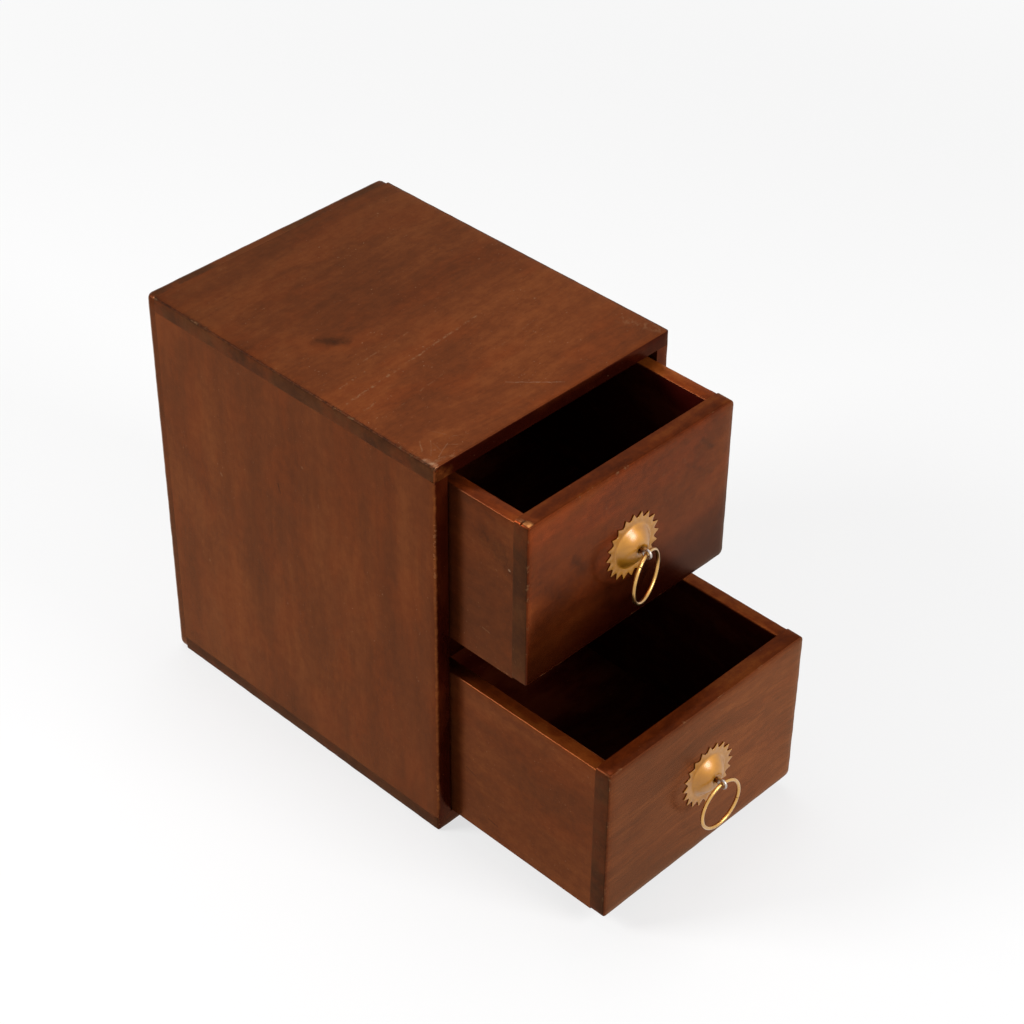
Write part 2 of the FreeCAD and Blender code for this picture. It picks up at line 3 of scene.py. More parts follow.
import bpy
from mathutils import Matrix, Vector


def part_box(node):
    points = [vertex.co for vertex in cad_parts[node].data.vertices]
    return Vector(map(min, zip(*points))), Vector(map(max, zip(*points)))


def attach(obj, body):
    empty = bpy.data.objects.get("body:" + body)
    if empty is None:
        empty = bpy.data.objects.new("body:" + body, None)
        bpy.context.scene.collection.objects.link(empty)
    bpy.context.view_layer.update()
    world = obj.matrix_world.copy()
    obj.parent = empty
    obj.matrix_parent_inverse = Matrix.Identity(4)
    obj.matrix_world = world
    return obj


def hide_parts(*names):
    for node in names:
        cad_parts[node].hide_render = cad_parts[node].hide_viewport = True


# Dresses a small two-drawer wooden box: planed boards, pressed brass rosettes and wire rings.
# Lengths are in metres. Sizes in the dictionaries are millimetres where a name ends in Mm.

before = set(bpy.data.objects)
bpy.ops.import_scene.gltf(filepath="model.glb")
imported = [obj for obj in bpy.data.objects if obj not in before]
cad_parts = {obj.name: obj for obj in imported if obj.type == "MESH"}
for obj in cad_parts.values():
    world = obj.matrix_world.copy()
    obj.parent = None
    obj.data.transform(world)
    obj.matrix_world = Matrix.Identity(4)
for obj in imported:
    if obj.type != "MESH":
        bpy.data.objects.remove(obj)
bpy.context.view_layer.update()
millimetre = 0.001
quarterTurn = math.radians(90)
axisNames = "xyz"
samePlace = 1e-6  # points closer than this count as one
print("frame loaded:", len(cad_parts), "nodes")


# Selecting, shaping and measuring pieces.

def setMode(mode):
    bpy.ops.object.mode_set(mode=mode)


def selectAll(action="SELECT"):
    bpy.ops.mesh.select_all(action=action)


def clearSelection():
    if bpy.context.object and bpy.context.object.mode != "OBJECT":
        setMode("OBJECT")
    bpy.ops.object.select_all(action="DESELECT")


def makeActive(piece):
    clearSelection()
    piece.select_set(True)
    bpy.context.view_layer.objects.active = piece


def applyModifiers(piece):
    makeActive(piece)
    for modifier in list(piece.modifiers):
        bpy.ops.object.modifier_apply(modifier=modifier.name)


def addBevel(piece, name, widthMm, segments, limitDegrees):
    bevel = piece.modifiers.new(name, "BEVEL")
    bevel.width = widthMm * millimetre
    bevel.segments = segments
    bevel.limit_method = "ANGLE"
    bevel.angle_limit = math.radians(limitDegrees)


def settle(piece):
    # Brings the object to the origin, unturned and unscaled, with its place in its mesh.
    makeActive(piece)
    bpy.ops.object.transform_apply(location=True, rotation=True, scale=True)


def boxOf(node):
    return [Vector(corner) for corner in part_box(node)]


def boxAround(nodes):
    lows, highs = zip(*(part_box(node) for node in nodes))
    low = Vector(min(corner[i] for corner in lows) for i in range(3))
    high = Vector(max(corner[i] for corner in highs) for i in range(3))
    return low, high


def addCube(name, low, high):
    clearSelection()
    bpy.ops.mesh.primitive_cube_add(size=1, location=(low + high) / 2, scale=high - low)
    cube = bpy.context.object
    cube.name = name
    settle(cube)
    return cube


def finishPiece(piece, node, body, smoothDegrees):
    makeActive(piece)
    bpy.ops.object.shade_smooth_by_angle(angle=math.radians(smoothDegrees))
    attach(piece, body)
    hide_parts(node)


# Placing and joining shader nodes.

def feed(node, inputs):
    # Each input is named or numbered, and takes a value or the output that feeds it.
    for label, value in inputs.items():
        if isinstance(value, bpy.types.NodeSocket):
            node.id_data.links.new(value, node.inputs[label])
        else:
            node.inputs[label].default_value = value


def addNode(tree, kind, inputs=None, **settings):
    node = tree.nodes.new(kind)
    for label, value in settings.items():
        setattr(node, label, value)
    feed(node, inputs or {})
    return node


def addGroup(tree, group, inputs):
    return addNode(tree, "ShaderNodeGroup", inputs, node_tree=group).outputs


def maths(tree, operation, first, second=0.0, third=0.0, clamp=False):
    inputs = {0: first, 1: second, 2: third}
    return addNode(tree, "ShaderNodeMath", inputs, operation=operation, use_clamp=clamp).outputs[0]


def vectorMaths(tree, operation, first, second=(0.0, 0.0, 0.0), scale=1.0):
    node = addNode(tree, "ShaderNodeVectorMath", {0: first, 1: second, 3: scale}, operation=operation)
    givesNumber = operation in ("DOT_PRODUCT", "DISTANCE", "LENGTH")
    return node.outputs["Value" if givesNumber else "Vector"]


def noise(tree, vector, scale, detail=2.0, roughness=0.5, distortion=0.0, output="Fac"):
    labels = ("Vector", "Scale", "Detail", "Roughness", "Distortion")
    inputs = dict(zip(labels, (vector, scale, detail, roughness, distortion)))
    return addNode(tree, "ShaderNodeTexNoise", inputs, noise_dimensions="3D").outputs[output]


def wander(tree, vector, scale, detail):
    # An offset that drifts either way of nothing.
    return vectorMaths(tree, "SUBTRACT", noise(tree, vector, scale, detail, output="Color"), (0.5, 0.5, 0.5))


def remap(tree, value, low, high, toLow=0.0, toHigh=1.0):
    inputs = {0: value, 1: low, 2: high, 3: toLow, 4: toHigh}
    return addNode(tree, "ShaderNodeMapRange", inputs, interpolation_type="SMOOTHSTEP").outputs[0]


def mixColour(tree, factor, first, second):
    return addNode(tree, "ShaderNodeMix", {0: factor, 6: first, 7: second}, data_type="RGBA").outputs[2]


def socketKind(value):
    # Four numbers are a colour, three a place.
    if isinstance(value, tuple):
        return "NodeSocketColor" if len(value) == 4 else "NodeSocketVector"
    return "NodeSocketFloat"


def newGroup(name, inputs, outputs):
    group = bpy.data.node_groups.new(name, "ShaderNodeTree")
    for label, value in {"Vector": (0, 0, 0), **inputs}.items():
        socket = group.interface.new_socket(label, in_out="INPUT", socket_type=socketKind(value))
        socket.default_value = value
    for label in outputs:
        kind = "NodeSocketColor" if label == "Color" else "NodeSocketFloat"
        group.interface.new_socket(label, in_out="OUTPUT", socket_type=kind)
    return group, group.nodes.new("NodeGroupInput").outputs, group.nodes.new("NodeGroupOutput")


def newMaterial(name):
    material = bpy.data.materials.new(name)
    material.use_nodes = True
    return material, material.node_tree, material.node_tree.nodes["Principled BSDF"]


def placeInPiece(tree, shift=(0, 0, 0)):
    # Where a point lies in the piece, in millimetres.
    place = addNode(tree, "ShaderNodeTexCoord").outputs["Object"]
    inputs = {"Vector": place, "Location": shift, "Scale": [1 / millimetre] * 3}
    return addNode(tree, "ShaderNodeMapping", inputs).outputs[0]


def addBump(tree, height, strength, distanceMm):
    inputs = {"Height": height, "Strength": strength, "Distance": distanceMm * millimetre}
    return addNode(tree, "ShaderNodeBump", inputs).outputs[0]


# Patterns of the wood. Lengths are in millimetres, and a group's inputs start at the values given here.

# For each layer: its scale along X, Y and Z, then its detail, roughness and distortion.
grainLayers = {
    "blotch": ((0.014, 0.034, 0.034), 3.0, 0.5, 0.6),
    "streak": ((0.008, 0.15, 0.15), 3.0, 0.55),
    "fine": ((0.035, 0.85, 0.85), 3.0, 0.6),
    "mottle": ((0.24, 0.30, 0.30), 6.0, 0.72),
    "pores": ((0.4, 3.2, 3.2), 1.0),
    "porePatches": ((0.03, 0.05, 0.05), 2.0),
    "warmth": ((0.03, 0.07, 0.07), 4.0, 0.6),
    "dust": ((1.1, 1.3, 1.3), 1.0),
    "dustPatches": ((0.06, 0.06, 0.06), 3.0),
}
# The span of each layer that takes the tone from darkest to lightest.
toneSpans = {"streak": (0.32, 0.68), "blotch": (0.34, 0.66), "fine": (0.3, 0.7), "mottle": (0.3, 0.7)}
grainBend = {"scale": 0.014, "reachMm": (0, 16, 16)}
dustColour = (0.30, 0.155, 0.085, 1)


def buildGrainGroup():
    # Close-grained hardwood under a thin stain. The grain runs along the incoming X.
    inputs = {
        "Mid": (0.05, 0.015, 0.005, 1),
        "Dark": (0.02, 0.005, 0.002, 1),
        "Light": (0.09, 0.03, 0.01, 1),
        "Warm": (0.14, 0.028, 0.005, 1),
        "Drift": 0.5,
        "Blotch": 0.3,
        "Streak": 0.2,
        "Fine": 0.1,
        "Mottle": 0.15,
        "Pores": 0.3,
        "Dust": 0.3,
    }
    group, entry, leave = newGroup("stainedGrain", inputs, ("Color", "Height", "Rough"))
    point = entry["Vector"]
    bend = vectorMaths(group, "MULTIPLY", wander(group, point, grainBend["scale"], 2.0), grainBend["reachMm"])
    bent = vectorMaths(group, "ADD", point, bend)

    def layer(name):
        straight = name in ("mottle", "porePatches", "dust", "dustPatches")
        scale, *rest = grainLayers[name]
        return noise(group, vectorMaths(group, "MULTIPLY", point if straight else bent, scale), 1.0, *rest)

    layers = {name: layer(name) for name in toneSpans}
    tone = 0.0
    for name, span in toneSpans.items():
        swing = remap(group, layers[name], *span, -1.0, 1.0)
        tone = maths(group, "MULTIPLY_ADD", swing, entry[name.title()], tone)
    lighter = maths(group, "MAXIMUM", tone, 0.0, clamp=True)
    darker = maths(group, "MAXIMUM", maths(group, "MULTIPLY", tone, -1.0), 0.0, clamp=True)
    warmth = maths(group, "MULTIPLY", remap(group, layer("warmth"), 0.44, 0.62), entry["Drift"])
    colour = mixColour(group, warmth, entry["Mid"], entry["Warm"])
    colour = mixColour(group, lighter, colour, entry["Light"])
    colour = mixColour(group, darker, colour, entry["Dark"])

    poreMask = remap(group, layer("pores"), 0.64, 0.74)
    poreMask = maths(group, "MULTIPLY", poreMask, remap(group, layer("porePatches"), 0.4, 0.6, 0.3, 1.0))
    poreMask = maths(group, "MULTIPLY", poreMask, entry["Pores"])
    colour = mixColour(group, poreMask, colour, entry["Dark"])
    dust = remap(group, layer("dust"), 0.72, 0.80)
    dust = maths(group, "MULTIPLY", dust, remap(group, layer("dustPatches"), 0.45, 0.62, 0.2, 1.0))
    colour = mixColour(group, maths(group, "MULTIPLY", dust, entry["Dust"]), colour, dustColour)

    height = maths(group, "MULTIPLY_ADD", layers["fine"], 0.4, maths(group, "MULTIPLY", poreMask, -0.8))
    height = maths(group, "MULTIPLY_ADD", layers["mottle"], 0.5, height)
    rough = maths(group, "MULTIPLY", layers["blotch"], 0.5)
    rough = maths(group, "MULTIPLY_ADD", layers["mottle"], 0.5, rough)
    feed(leave, {"Color": colour, "Height": height, "Rough": rough})
    return group


def buildArrisGroup():
    # Near the edges of the box from Low to High: where a box-shaped piece is worn, and where its edges are
    # darkened as grime and painted shade.
    inputs = {"Low": (0, 0, 0), "High": (1, 1, 1), "Width": 1.0, "Amount": 0.5, "Broken": 1.0}
    group, entry, leave = newGroup("arrisWearAndShade", inputs, ("Worn",))
    point = entry["Vector"]
    fromLow = vectorMaths(group, "ABSOLUTE", vectorMaths(group, "SUBTRACT", point, entry["Low"]))
    fromHigh = vectorMaths(group, "ABSOLUTE", vectorMaths(group, "SUBTRACT", entry["High"], point))
    nearest = vectorMaths(group, "MINIMUM", fromLow, fromHigh)
    x, y, z = addNode(group, "ShaderNodeSeparateXYZ", {0: nearest}).outputs
    # An edge is near where two of the three distances are short, so the middle one counts.
    total = maths(group, "ADD", maths(group, "ADD", x, y), z)
    most = maths(group, "MAXIMUM", maths(group, "MAXIMUM", x, y), z)
    least = maths(group, "MINIMUM", maths(group, "MINIMUM", x, y), z)
    distance = maths(group, "SUBTRACT", maths(group, "SUBTRACT", total, most), least)
    patches = noise(group, point, 0.13, 3.0, 0.65)
    specks = noise(group, point, 0.9, 2.0, 0.6)
    spare = maths(group, "SUBTRACT", remap(group, patches, 0.50, 0.68, 0.05, 1.7), 1.0)
    spread = maths(group, "MULTIPLY_ADD", spare, entry["Broken"], 1.0)
    near = remap(group, distance, 0.0, maths(group, "MULTIPLY", entry["Width"], spread), 1.0, 0.0)
    lost = maths(group, "MULTIPLY", remap(group, specks, 0.44, 0.6, 1.0, 0.0), entry["Broken"])
    kept = maths(group, "SUBTRACT", 1.0, lost)
    worn = maths(group, "MULTIPLY", maths(group, "MULTIPLY", near, kept), entry["Amount"], clamp=True)
    feed(leave, {"Worn": worn})
    return group


def buildFadeGroup():
    # How much lighter or darker a board is from one side to the other.
    inputs = {"Color": (0.1, 0.03, 0.01, 1), "Along": (1, 0, 0)}
    inputs.update(Start=0.0, End=1.0, First=1.0, Last=1.0)
    group, entry, leave = newGroup("brightnessFade", inputs, ("Color",))
    distance = vectorMaths(group, "DOT_PRODUCT", entry["Vector"], entry["Along"])
    strength = remap(group, distance, *(entry[label] for label in ("Start", "End", "First", "Last")))
    feed(leave, {"Color": vectorMaths(group, "SCALE", entry["Color"], scale=strength)})
    return group


def buildStrokeGroup():
    # A soft line from Start to End, broken up along its way: a scratch or a stain, and also bands of painted
    # shade and painted reflection.
    inputs = {
        "Start": (0, 0, 0),
        "End": (1, 0, 0),
        "Width": 0.3,
        "Strength": 0.5,
        "Broken": 0.5,
        "Waver": 0.3,
    }
    group, entry, leave = newGroup("markAndPaintedLightStroke", inputs, ("Mask",))
    point = entry["Vector"]
    shake = vectorMaths(group, "SCALE", wander(group, point, 0.35, 3.0), scale=entry["Waver"])
    moved = vectorMaths(group, "ADD", point, shake)
    along = vectorMaths(group, "SUBTRACT", entry["End"], entry["Start"])
    reach = vectorMaths(group, "SUBTRACT", moved, entry["Start"])
    covered = vectorMaths(group, "DOT_PRODUCT", reach, along)
    share = maths(group, "DIVIDE", covered, vectorMaths(group, "DOT_PRODUCT", along, along), clamp=True)
    away = vectorMaths(group, "DISTANCE", reach, vectorMaths(group, "SCALE", along, scale=share))
    line = remap(group, away, 0.0, entry["Width"], 1.0, 0.0)
    gaps = remap(group, noise(group, point, 0.55, 3.0, 0.7), 0.40, 0.54)
    kept = maths(group, "SUBTRACT", 1.0, maths(group, "MULTIPLY", gaps, entry["Broken"]))
    mask = maths(group, "MULTIPLY", maths(group, "MULTIPLY", line, kept), entry["Strength"], clamp=True)
    feed(leave, {"Mask": mask})
    return group


grainGroup = buildGrainGroup()
arrisGroup = buildArrisGroup()
strokeGroup = buildStrokeGroup()
fadeGroup = buildFadeGroup()

# The stained wood of every board.

grainTurns = {"x": (0, 0, 0), "y": (0, 0, -quarterTurn), "z": (0, quarterTurn, 0)}
stainedWood = {

    "mid": (0.112, 0.0268, 0.0074, 1),
    "dark": (0.046, 0.0115, 0.0042, 1),
    "light": (0.200, 0.0560, 0.0145, 1),
    "warm": (0.150, 0.0290, 0.0062, 1),
    "drift": 0.4,
    "bare": (0.26, 0.125, 0.055, 1),
    "grimeAndShade": (0.006, 0.0021, 0.0011, 1),
    "blotch": 0.22,
    "streak": 0.10,
    "fine": 0.05,
    "mottle": 0.22,
    "pores": 0.3,
    "dust": 0.35,
    "lustre": 0.50,
    "roughness": 0.24,
    "specular": 0.05,
    "specularTint": (1.0, 0.70, 0.52, 1),
    "roughSpread": 0.16,
    "wearRough": 0.3,
    "grimeAndShadeRough": 0.25,
    "bump": 0.10,
    "bumpMm": 0.3,
    "wearWidth": 0.9,
    "wearAmount": 0.6,
    "wearBroken": 1.0,
    # The grime bands darken the arrises: grime, and painted shade of the rounded edges.
    "grimeAndShadeWidth": 1.3,
    "grimeAndShadeAmount": 0.0,
    "grimeAndShadeBroken": 0.25,
    "grimeAndShadeDulls": 0.9,
    "tone": 1.0,
    "fades": [],
    "marks": [],
}
markColours = {
    "light": (0.24, 0.115, 0.055, 1),
    "pale": (0.36, 0.22, 0.13, 1),
    "dark": (0.026, 0.0080, 0.0032, 1),
    "red": (0.150, 0.0300, 0.0060, 1),
    "shade": (0.024, 0.0012, 0.0006, 1),
    "bare": (0.38, 0.150, 0.045, 1),
    "orange": (0.27, 0.080, 0.018, 1),
    # A near-black line that paints shade into a crack.
    "gap": (0.003, 0.0010, 0.0006, 1),
}
markWaver = {"leastMm": 0.6, "mostMm": 6.0}


def toned(colour, tone):
    return tuple(part * tone for part in colour[:3]) + (1,)


def woodMaterial(name, grain, shift, outerBox, **changes):
    values = dict(stainedWood, **changes)
    material, tree, shader = newMaterial(name)
    placeMm = placeInPiece(tree)
    turned = {"Vector": placeMm, "Location": shift, "Rotation": grainTurns[grain]}
    inputs = {"Vector": addNode(tree, "ShaderNodeMapping", turned).outputs[0]}
    for label in ("Mid", "Dark", "Light", "Warm"):
        inputs[label] = toned(values[label.lower()], values["tone"])
    for label in ("Drift", "Blotch", "Streak", "Fine", "Mottle", "Pores", "Dust"):
        inputs[label] = values[label.lower()]
    wood = addGroup(tree, grainGroup, inputs)
    colour = wood["Color"]

    for fade in values["fades"]:
        inputs = dict(zip(("Along", "Start", "End", "First", "Last"), fade), Color=colour, Vector=placeMm)
        colour = addGroup(tree, fadeGroup, inputs)["Color"]

    for kind, *mark in values["marks"]:
        inputs = dict(zip(("Start", "End", "Width", "Strength", "Broken"), mark), Vector=placeMm)
        inputs["Waver"] = min(markWaver["leastMm"] + inputs["Width"], markWaver["mostMm"])
        colour = mixColour(tree, addGroup(tree, strokeGroup, inputs)["Mask"], colour, markColours[kind])

    # Edges darkened as grime and painted shade, then bare wood where worn.
    worn = {}
    for layer, tint in (("grimeAndShade", "grimeAndShade"), ("wear", "bare")):
        inputs = {label: values[layer + label] for label in ("Width", "Amount", "Broken")}
        inputs.update(Vector=placeMm, Low=outerBox[0] / millimetre, High=outerBox[1] / millimetre)
        worn[layer] = addGroup(tree, arrisGroup, inputs)["Worn"]
        colour = mixColour(tree, worn[layer], colour, values[tint])

    leastRough = values["roughness"] - values["roughSpread"] / 2
    rough = maths(tree, "MULTIPLY_ADD", wood["Rough"], values["roughSpread"], leastRough)
    rough = maths(tree, "MULTIPLY_ADD", worn["wear"], values["wearRough"], rough)
    rough = maths(tree, "MULTIPLY_ADD", worn["grimeAndShade"], values["grimeAndShadeRough"], rough, clamp=True)
    bareness = maths(tree, "MULTIPLY_ADD", worn["grimeAndShade"], values["grimeAndShadeDulls"], worn["wear"], clamp=True)
    feed(shader, {
        "Base Color": colour,
        "Roughness": rough,
        "Metallic": maths(tree, "MULTIPLY_ADD", bareness, -values["lustre"], values["lustre"], clamp=True),
        "Normal": addBump(tree, wood["Height"], values["bump"], values["bumpMm"]),
        "Specular IOR Level": values["specular"],
        "Specular Tint": values["specularTint"],
    })
    return material


# Boards: cut to size, eased, worn and struck at their edges.

boardDetail = {
    "gridStepMm": 2.6,
    "caseEdgeMm": 0.8,
    "backEdgeMm": 2.4,
    "drawerEdgeMm": 0.6,
    "edgeSegments": 3,
    "wideEdgeMm": 1.5,
    "wideEdgeSegments": 5,
    "wearDepthMm": 0.22,
    "wearSizeMm": 3.0,
    "wearLevel": 1.05,  # above 1, so that nicks only go inwards
    "smoothDegrees": 35,
}
facingShare = 0.75  # how squarely a face has to look a way
nickMark = {"reach": 0.7, "width": 1.5, "broken": 0.3, "caseStrength": 0.75, "drawerStrength": 0.6}
nickTexture = bpy.data.textures.new("arrisNicks", "CLOUDS")
nickTexture.noise_scale = boardDetail["wearSizeMm"] * millimetre
nickTexture.noise_depth = 2


def edgeEnds(mesh, edge):
    return (mesh.vertices[i].co for i in edge.vertices)


def chooseEdges(board, wanted):
    # Selects edges by their place, and stays in edit mode.
    makeActive(board)
    setMode("EDIT")
    bpy.ops.mesh.select_mode(type="EDGE")
    selectAll("DESELECT")
    setMode("OBJECT")
    for edge in board.data.edges:
        edge.select = wanted(edge)
    setMode("EDIT")


def subdivideAlong(board, axis, step):
    # Cuts evenly spaced loops across the board along one axis.
    mesh = board.data
    places = [vertex.co[axis] for vertex in mesh.vertices]
    cuts = round((max(places) - min(places)) / step) - 1
    if cuts < 1:
        return

    def runsAlong(edge):
        a, b = edgeEnds(mesh, edge)
        return all(abs(a[i] - b[i]) < samePlace for i in range(3) if i != axis)

    chooseEdges(board, runsAlong)
    bpy.ops.mesh.subdivide(number_cuts=cuts)
    setMode("OBJECT")


def bevelChosen(board, wanted, radius):
    # Rounds the chosen edges and marks them as worn.
    chooseEdges(board, wanted)
    isWide = radius > boardDetail["wideEdgeMm"] * millimetre
    segments = boardDetail["wideEdgeSegments" if isWide else "edgeSegments"]
    bpy.ops.mesh.bevel(offset=radius, segments=segments, profile=0.5, affect="EDGES", clamp_overlap=True)
    if board.vertex_groups:
        bpy.ops.object.vertex_group_assign()
    else:
        bpy.ops.object.vertex_group_assign_new()
    setMode("OBJECT")


def easeEdges(board, faces, radius):
    # Rounds the edges in which two of the named outer faces meet.
    mesh = board.data
    corners = [Vector(corner) for corner in board.bound_box]
    ends = {"-": corners[0], "+": corners[6]}
    planes = [(axisNames.index(axis), ends[sign][axisNames.index(axis)]) for sign, axis in faces]

    def isArris(edge):
        a, b = edgeEnds(mesh, edge)
        return sum(max(abs(a[i] - place), abs(b[i] - place)) < samePlace for i, place in planes) == 2

    bevelChosen(board, isArris, radius)


def easeRim(board, radius):
    # Rounds all round the rim of the foremost face.
    mesh = board.data
    foremost = board.bound_box[0][1]
    shares = {}
    for face in mesh.polygons:
        if all(abs(mesh.vertices[i].co.y - foremost) < samePlace for i in face.vertices):
            for key in face.edge_keys:
                shares[key] = shares.get(key, 0) + 1
    bevelChosen(board, lambda edge: shares.get(edge.key) == 1, radius)


def wearArrises(board):
    # Small nicks along the rounded edges.
    worn = board.modifiers.new("nicks", "DISPLACE")
    worn.texture = nickTexture
    worn.texture_coords = "LOCAL"
    worn.mid_level = boardDetail["wearLevel"]
    worn.strength = boardDetail["wearDepthMm"] * millimetre
    worn.vertex_group = board.vertex_groups[0].name
    applyModifiers(board)
    board.vertex_groups.clear()


def cutAway(board, tool):
    # Cuts the tool's shape out of the board, and leaves the tool.
    cut = board.modifiers.new("cut", "BOOLEAN")
    cut.object = tool
    cut.operation = "DIFFERENCE"
    cut.solver = "EXACT"
    applyModifiers(board)


def cutNicks(board, nicks):
    # Small hollows struck out of an edge, each with its middle and half sizes in millimetres.
    for place, size in nicks:
        clearSelection()
        middle = Vector(place) * millimetre
        bpy.ops.mesh.primitive_ico_sphere_add(subdivisions=2, radius=millimetre, location=middle)
        tool = bpy.context.object
        tool.scale = size
        settle(tool)
        cutAway(board, tool)
        bpy.data.objects.remove(tool, do_unlink=True)


def nickMarks(nicks, strength):
    # The paler wood that shows where the edge is struck.
    marks = []
    for place, size in nicks:
        middle, half = Vector(place), Vector(size)
        longest = max(range(3), key=lambda axis: half[axis])
        reach = Vector([half[axis] * nickMark["reach"] if axis == longest else 0 for axis in range(3)])
        width = sorted(half)[1] * nickMark["width"]
        marks.append(("light", middle - reach, middle + reach, width, strength, nickMark["broken"]))
    return marks


def marksOn(node, face, marks):
    # Sets marks that are given in two dimensions on a node's outer face, such as "-x".
    axis = axisNames.index(face[1])
    level = boxOf(node)[face[0] == "+"][axis] / millimetre

    def onFace(point):
        return point[:axis] + (level,) + point[axis:]

    return [(kind, onFace(start), onFace(end), *rest) for kind, start, end, *rest in marks]


def paintFaces(board, woods, zones):
    # The first wood is all over; a zone gives the faces that look its way, such as "-x", another one.
    mesh = board.data
    mesh.materials.clear()
    for material in woods:
        mesh.materials.append(material)
    for number, way in zones:
        axis, sign = axisNames.index(way[1]), -1 if way[0] == "-" else 1
        for face in mesh.polygons:
            if face.normal[axis] * sign > facingShare:
                face.material_index = number


def makeBoard(node, spec):
    board = addCube(spec["name"], *boxOf(node))
    for axis in range(3):
        subdivideAlong(board, axis, boardDetail["gridStepMm"] * millimetre)
    for faces, radiusMm in spec["eased"]:
        easeEdges(board, faces, radiusMm * millimetre)
    if "rimMm" in spec:
        easeRim(board, spec["rimMm"] * millimetre)
    if board.vertex_groups:
        wearArrises(board)
    cutNicks(board, spec.get("nicks", []))
    return board


caseEdge = boardDetail["caseEdgeMm"]

# The case. Each mark has a colour, two ends, a width, a strength and how far it is broken up.
# Each nick has its middle and its half sizes.

topMarks = marksOn("case_top", "+z", [
    ("red", (-32.5, 4.6), (-27.5, 0.2), 9.0, 0.45, 0.2),
    ("dark", (-31.0, 5.6), (-25.8, 1.0), 4.6, 0.75, 0.25),
    ("dark", (-29.8, 4.0), (-28.2, 2.4), 2.8, 0.60, 0.0),
    ("light", (-48.5, -25.4), (-14.0, -21.6), 0.75, 0.70, 1.0),
    ("light", (-14.0, -21.6), (14.7, -18.5), 0.60, 0.55, 1.0),
    ("light", (-45.0, -18.0), (-33.0, -16.4), 0.70, 0.60, 1.0),
    ("light", (-47.0, -31.5), (-42.0, -31.0), 0.60, 0.50, 0.9),
    ("light", (-30.0, -12.0), (-8.0, -10.0), 0.45, 0.35, 1.0),
    ("pale", (-5.6, -51.6), (7.2, -64.3), 0.35, 0.55, 0.7),
    ("light", (-49.5, -59.5), (-46.0, -54.8), 0.30, 0.60, 0.5),
    ("light", (-48.8, -62.8), (-43.6, -57.0), 0.26, 0.60, 0.6),
    ("pale", (-47.5, -64.5), (-41.0, -61.6), 0.24, 0.50, 0.6),
    ("light", (-44.9, -63.9), (-44.0, -58.6), 0.26, 0.55, 0.6),
    ("light", (-42.2, -61.5), (-38.2, -65.0), 0.24, 0.55, 0.7),
    ("light", (-40.5, -52.5), (-38.0, -58.0), 0.24, 0.45, 0.6),
    ("light", (-37.5, -60.0), (-33.0, -62.5), 0.26, 0.40, 0.8),
    ("light", (-51.0, -65.0), (-44.0, -66.8), 1.6, 0.45, 0.9),
    ("pale", (-51.6, -63.0), (-51.2, -67.0), 1.4, 0.55, 0.6),
    ("light", (46.0, -54.0), (50.0, -66.0), 3.0, 0.35, 1.0),
    ("light", (-40.0, -38.0), (-12.0, -34.0), 0.35, 0.35, 1.0),
    ("light", (8.0, -36.0), (30.0, -33.0), 0.40, 0.30, 1.0),
])
topNicks = [
    ((-52.9, -12.5, 152.1), (0.5, 1.7, 0.55)),
    ((-52.9, -17.2, 152.0), (0.4, 0.7, 0.35)),
    ((-52.9, -21.0, 152.1), (0.45, 1.3, 0.45)),
    ((-52.9, -24.6, 152.0), (0.4, 0.8, 0.35)),
    ((-52.9, 8.0, 152.0), (0.35, 0.8, 0.35)),
    ((-52.9, -47.0, 152.0), (0.4, 1.0, 0.35)),
    ((-53.0, -67.8, 152.3), (1.3, 1.2, 0.8)),
    ((20.0, -68.1, 152.1), (1.4, 0.5, 0.4)),
    ((52.9, -60.0, 152.1), (0.5, 1.6, 0.5)),
    ((52.9, 22.0, 152.0), (0.4, 1.2, 0.4)),
]
sideMarks = marksOn("case_left_side", "-x", [
    ("light", (34.9, 95.0), (34.6, 94.6), 0.8, 0.45, 0.0),
    ("dark", (5.4, 107.0), (4.4, 103.6), 0.5, 0.6, 0.0),
    ("light", (-7.3, 120.3), (-7.4, 119.8), 0.6, 0.4, 0.0),
    ("light", (45.0, 52.3), (44.9, 51.9), 0.6, 0.4, 0.0),
    ("dark", (-10.0, 30.0), (-14.0, 72.0), 9.0, 0.14, 0.3),
    ("dark", (20.0, 40.0), (17.0, 140.0), 8.0, 0.14, 0.3),
    ("dark", (65.6, 2.0), (65.6, 150.0), 2.6, 0.45, 0.2),
    # A painted reflection: an orange line along the rounded front arris.
    ("orange", (-67.7, 8.0), (-67.7, 145.0), 0.8, 0.75, 0.6),
])
sideNicks = [
    ((-52.9, -68.0, 127.0), (0.4, 0.4, 1.2)),
    ((-52.9, -68.0, 114.5), (0.4, 0.4, 0.8)),
    ((-52.9, -68.0, 101.0), (0.5, 0.45, 1.6)),
    ((-52.9, -68.0, 96.5), (0.35, 0.35, 0.6)),
    ((-52.9, -68.0, 84.0), (0.45, 0.4, 1.0)),
    ((-52.9, -68.0, 52.0), (0.35, 0.35, 0.7)),
    ((-52.9, -68.0, 21.0), (0.4, 0.4, 0.9)),
]
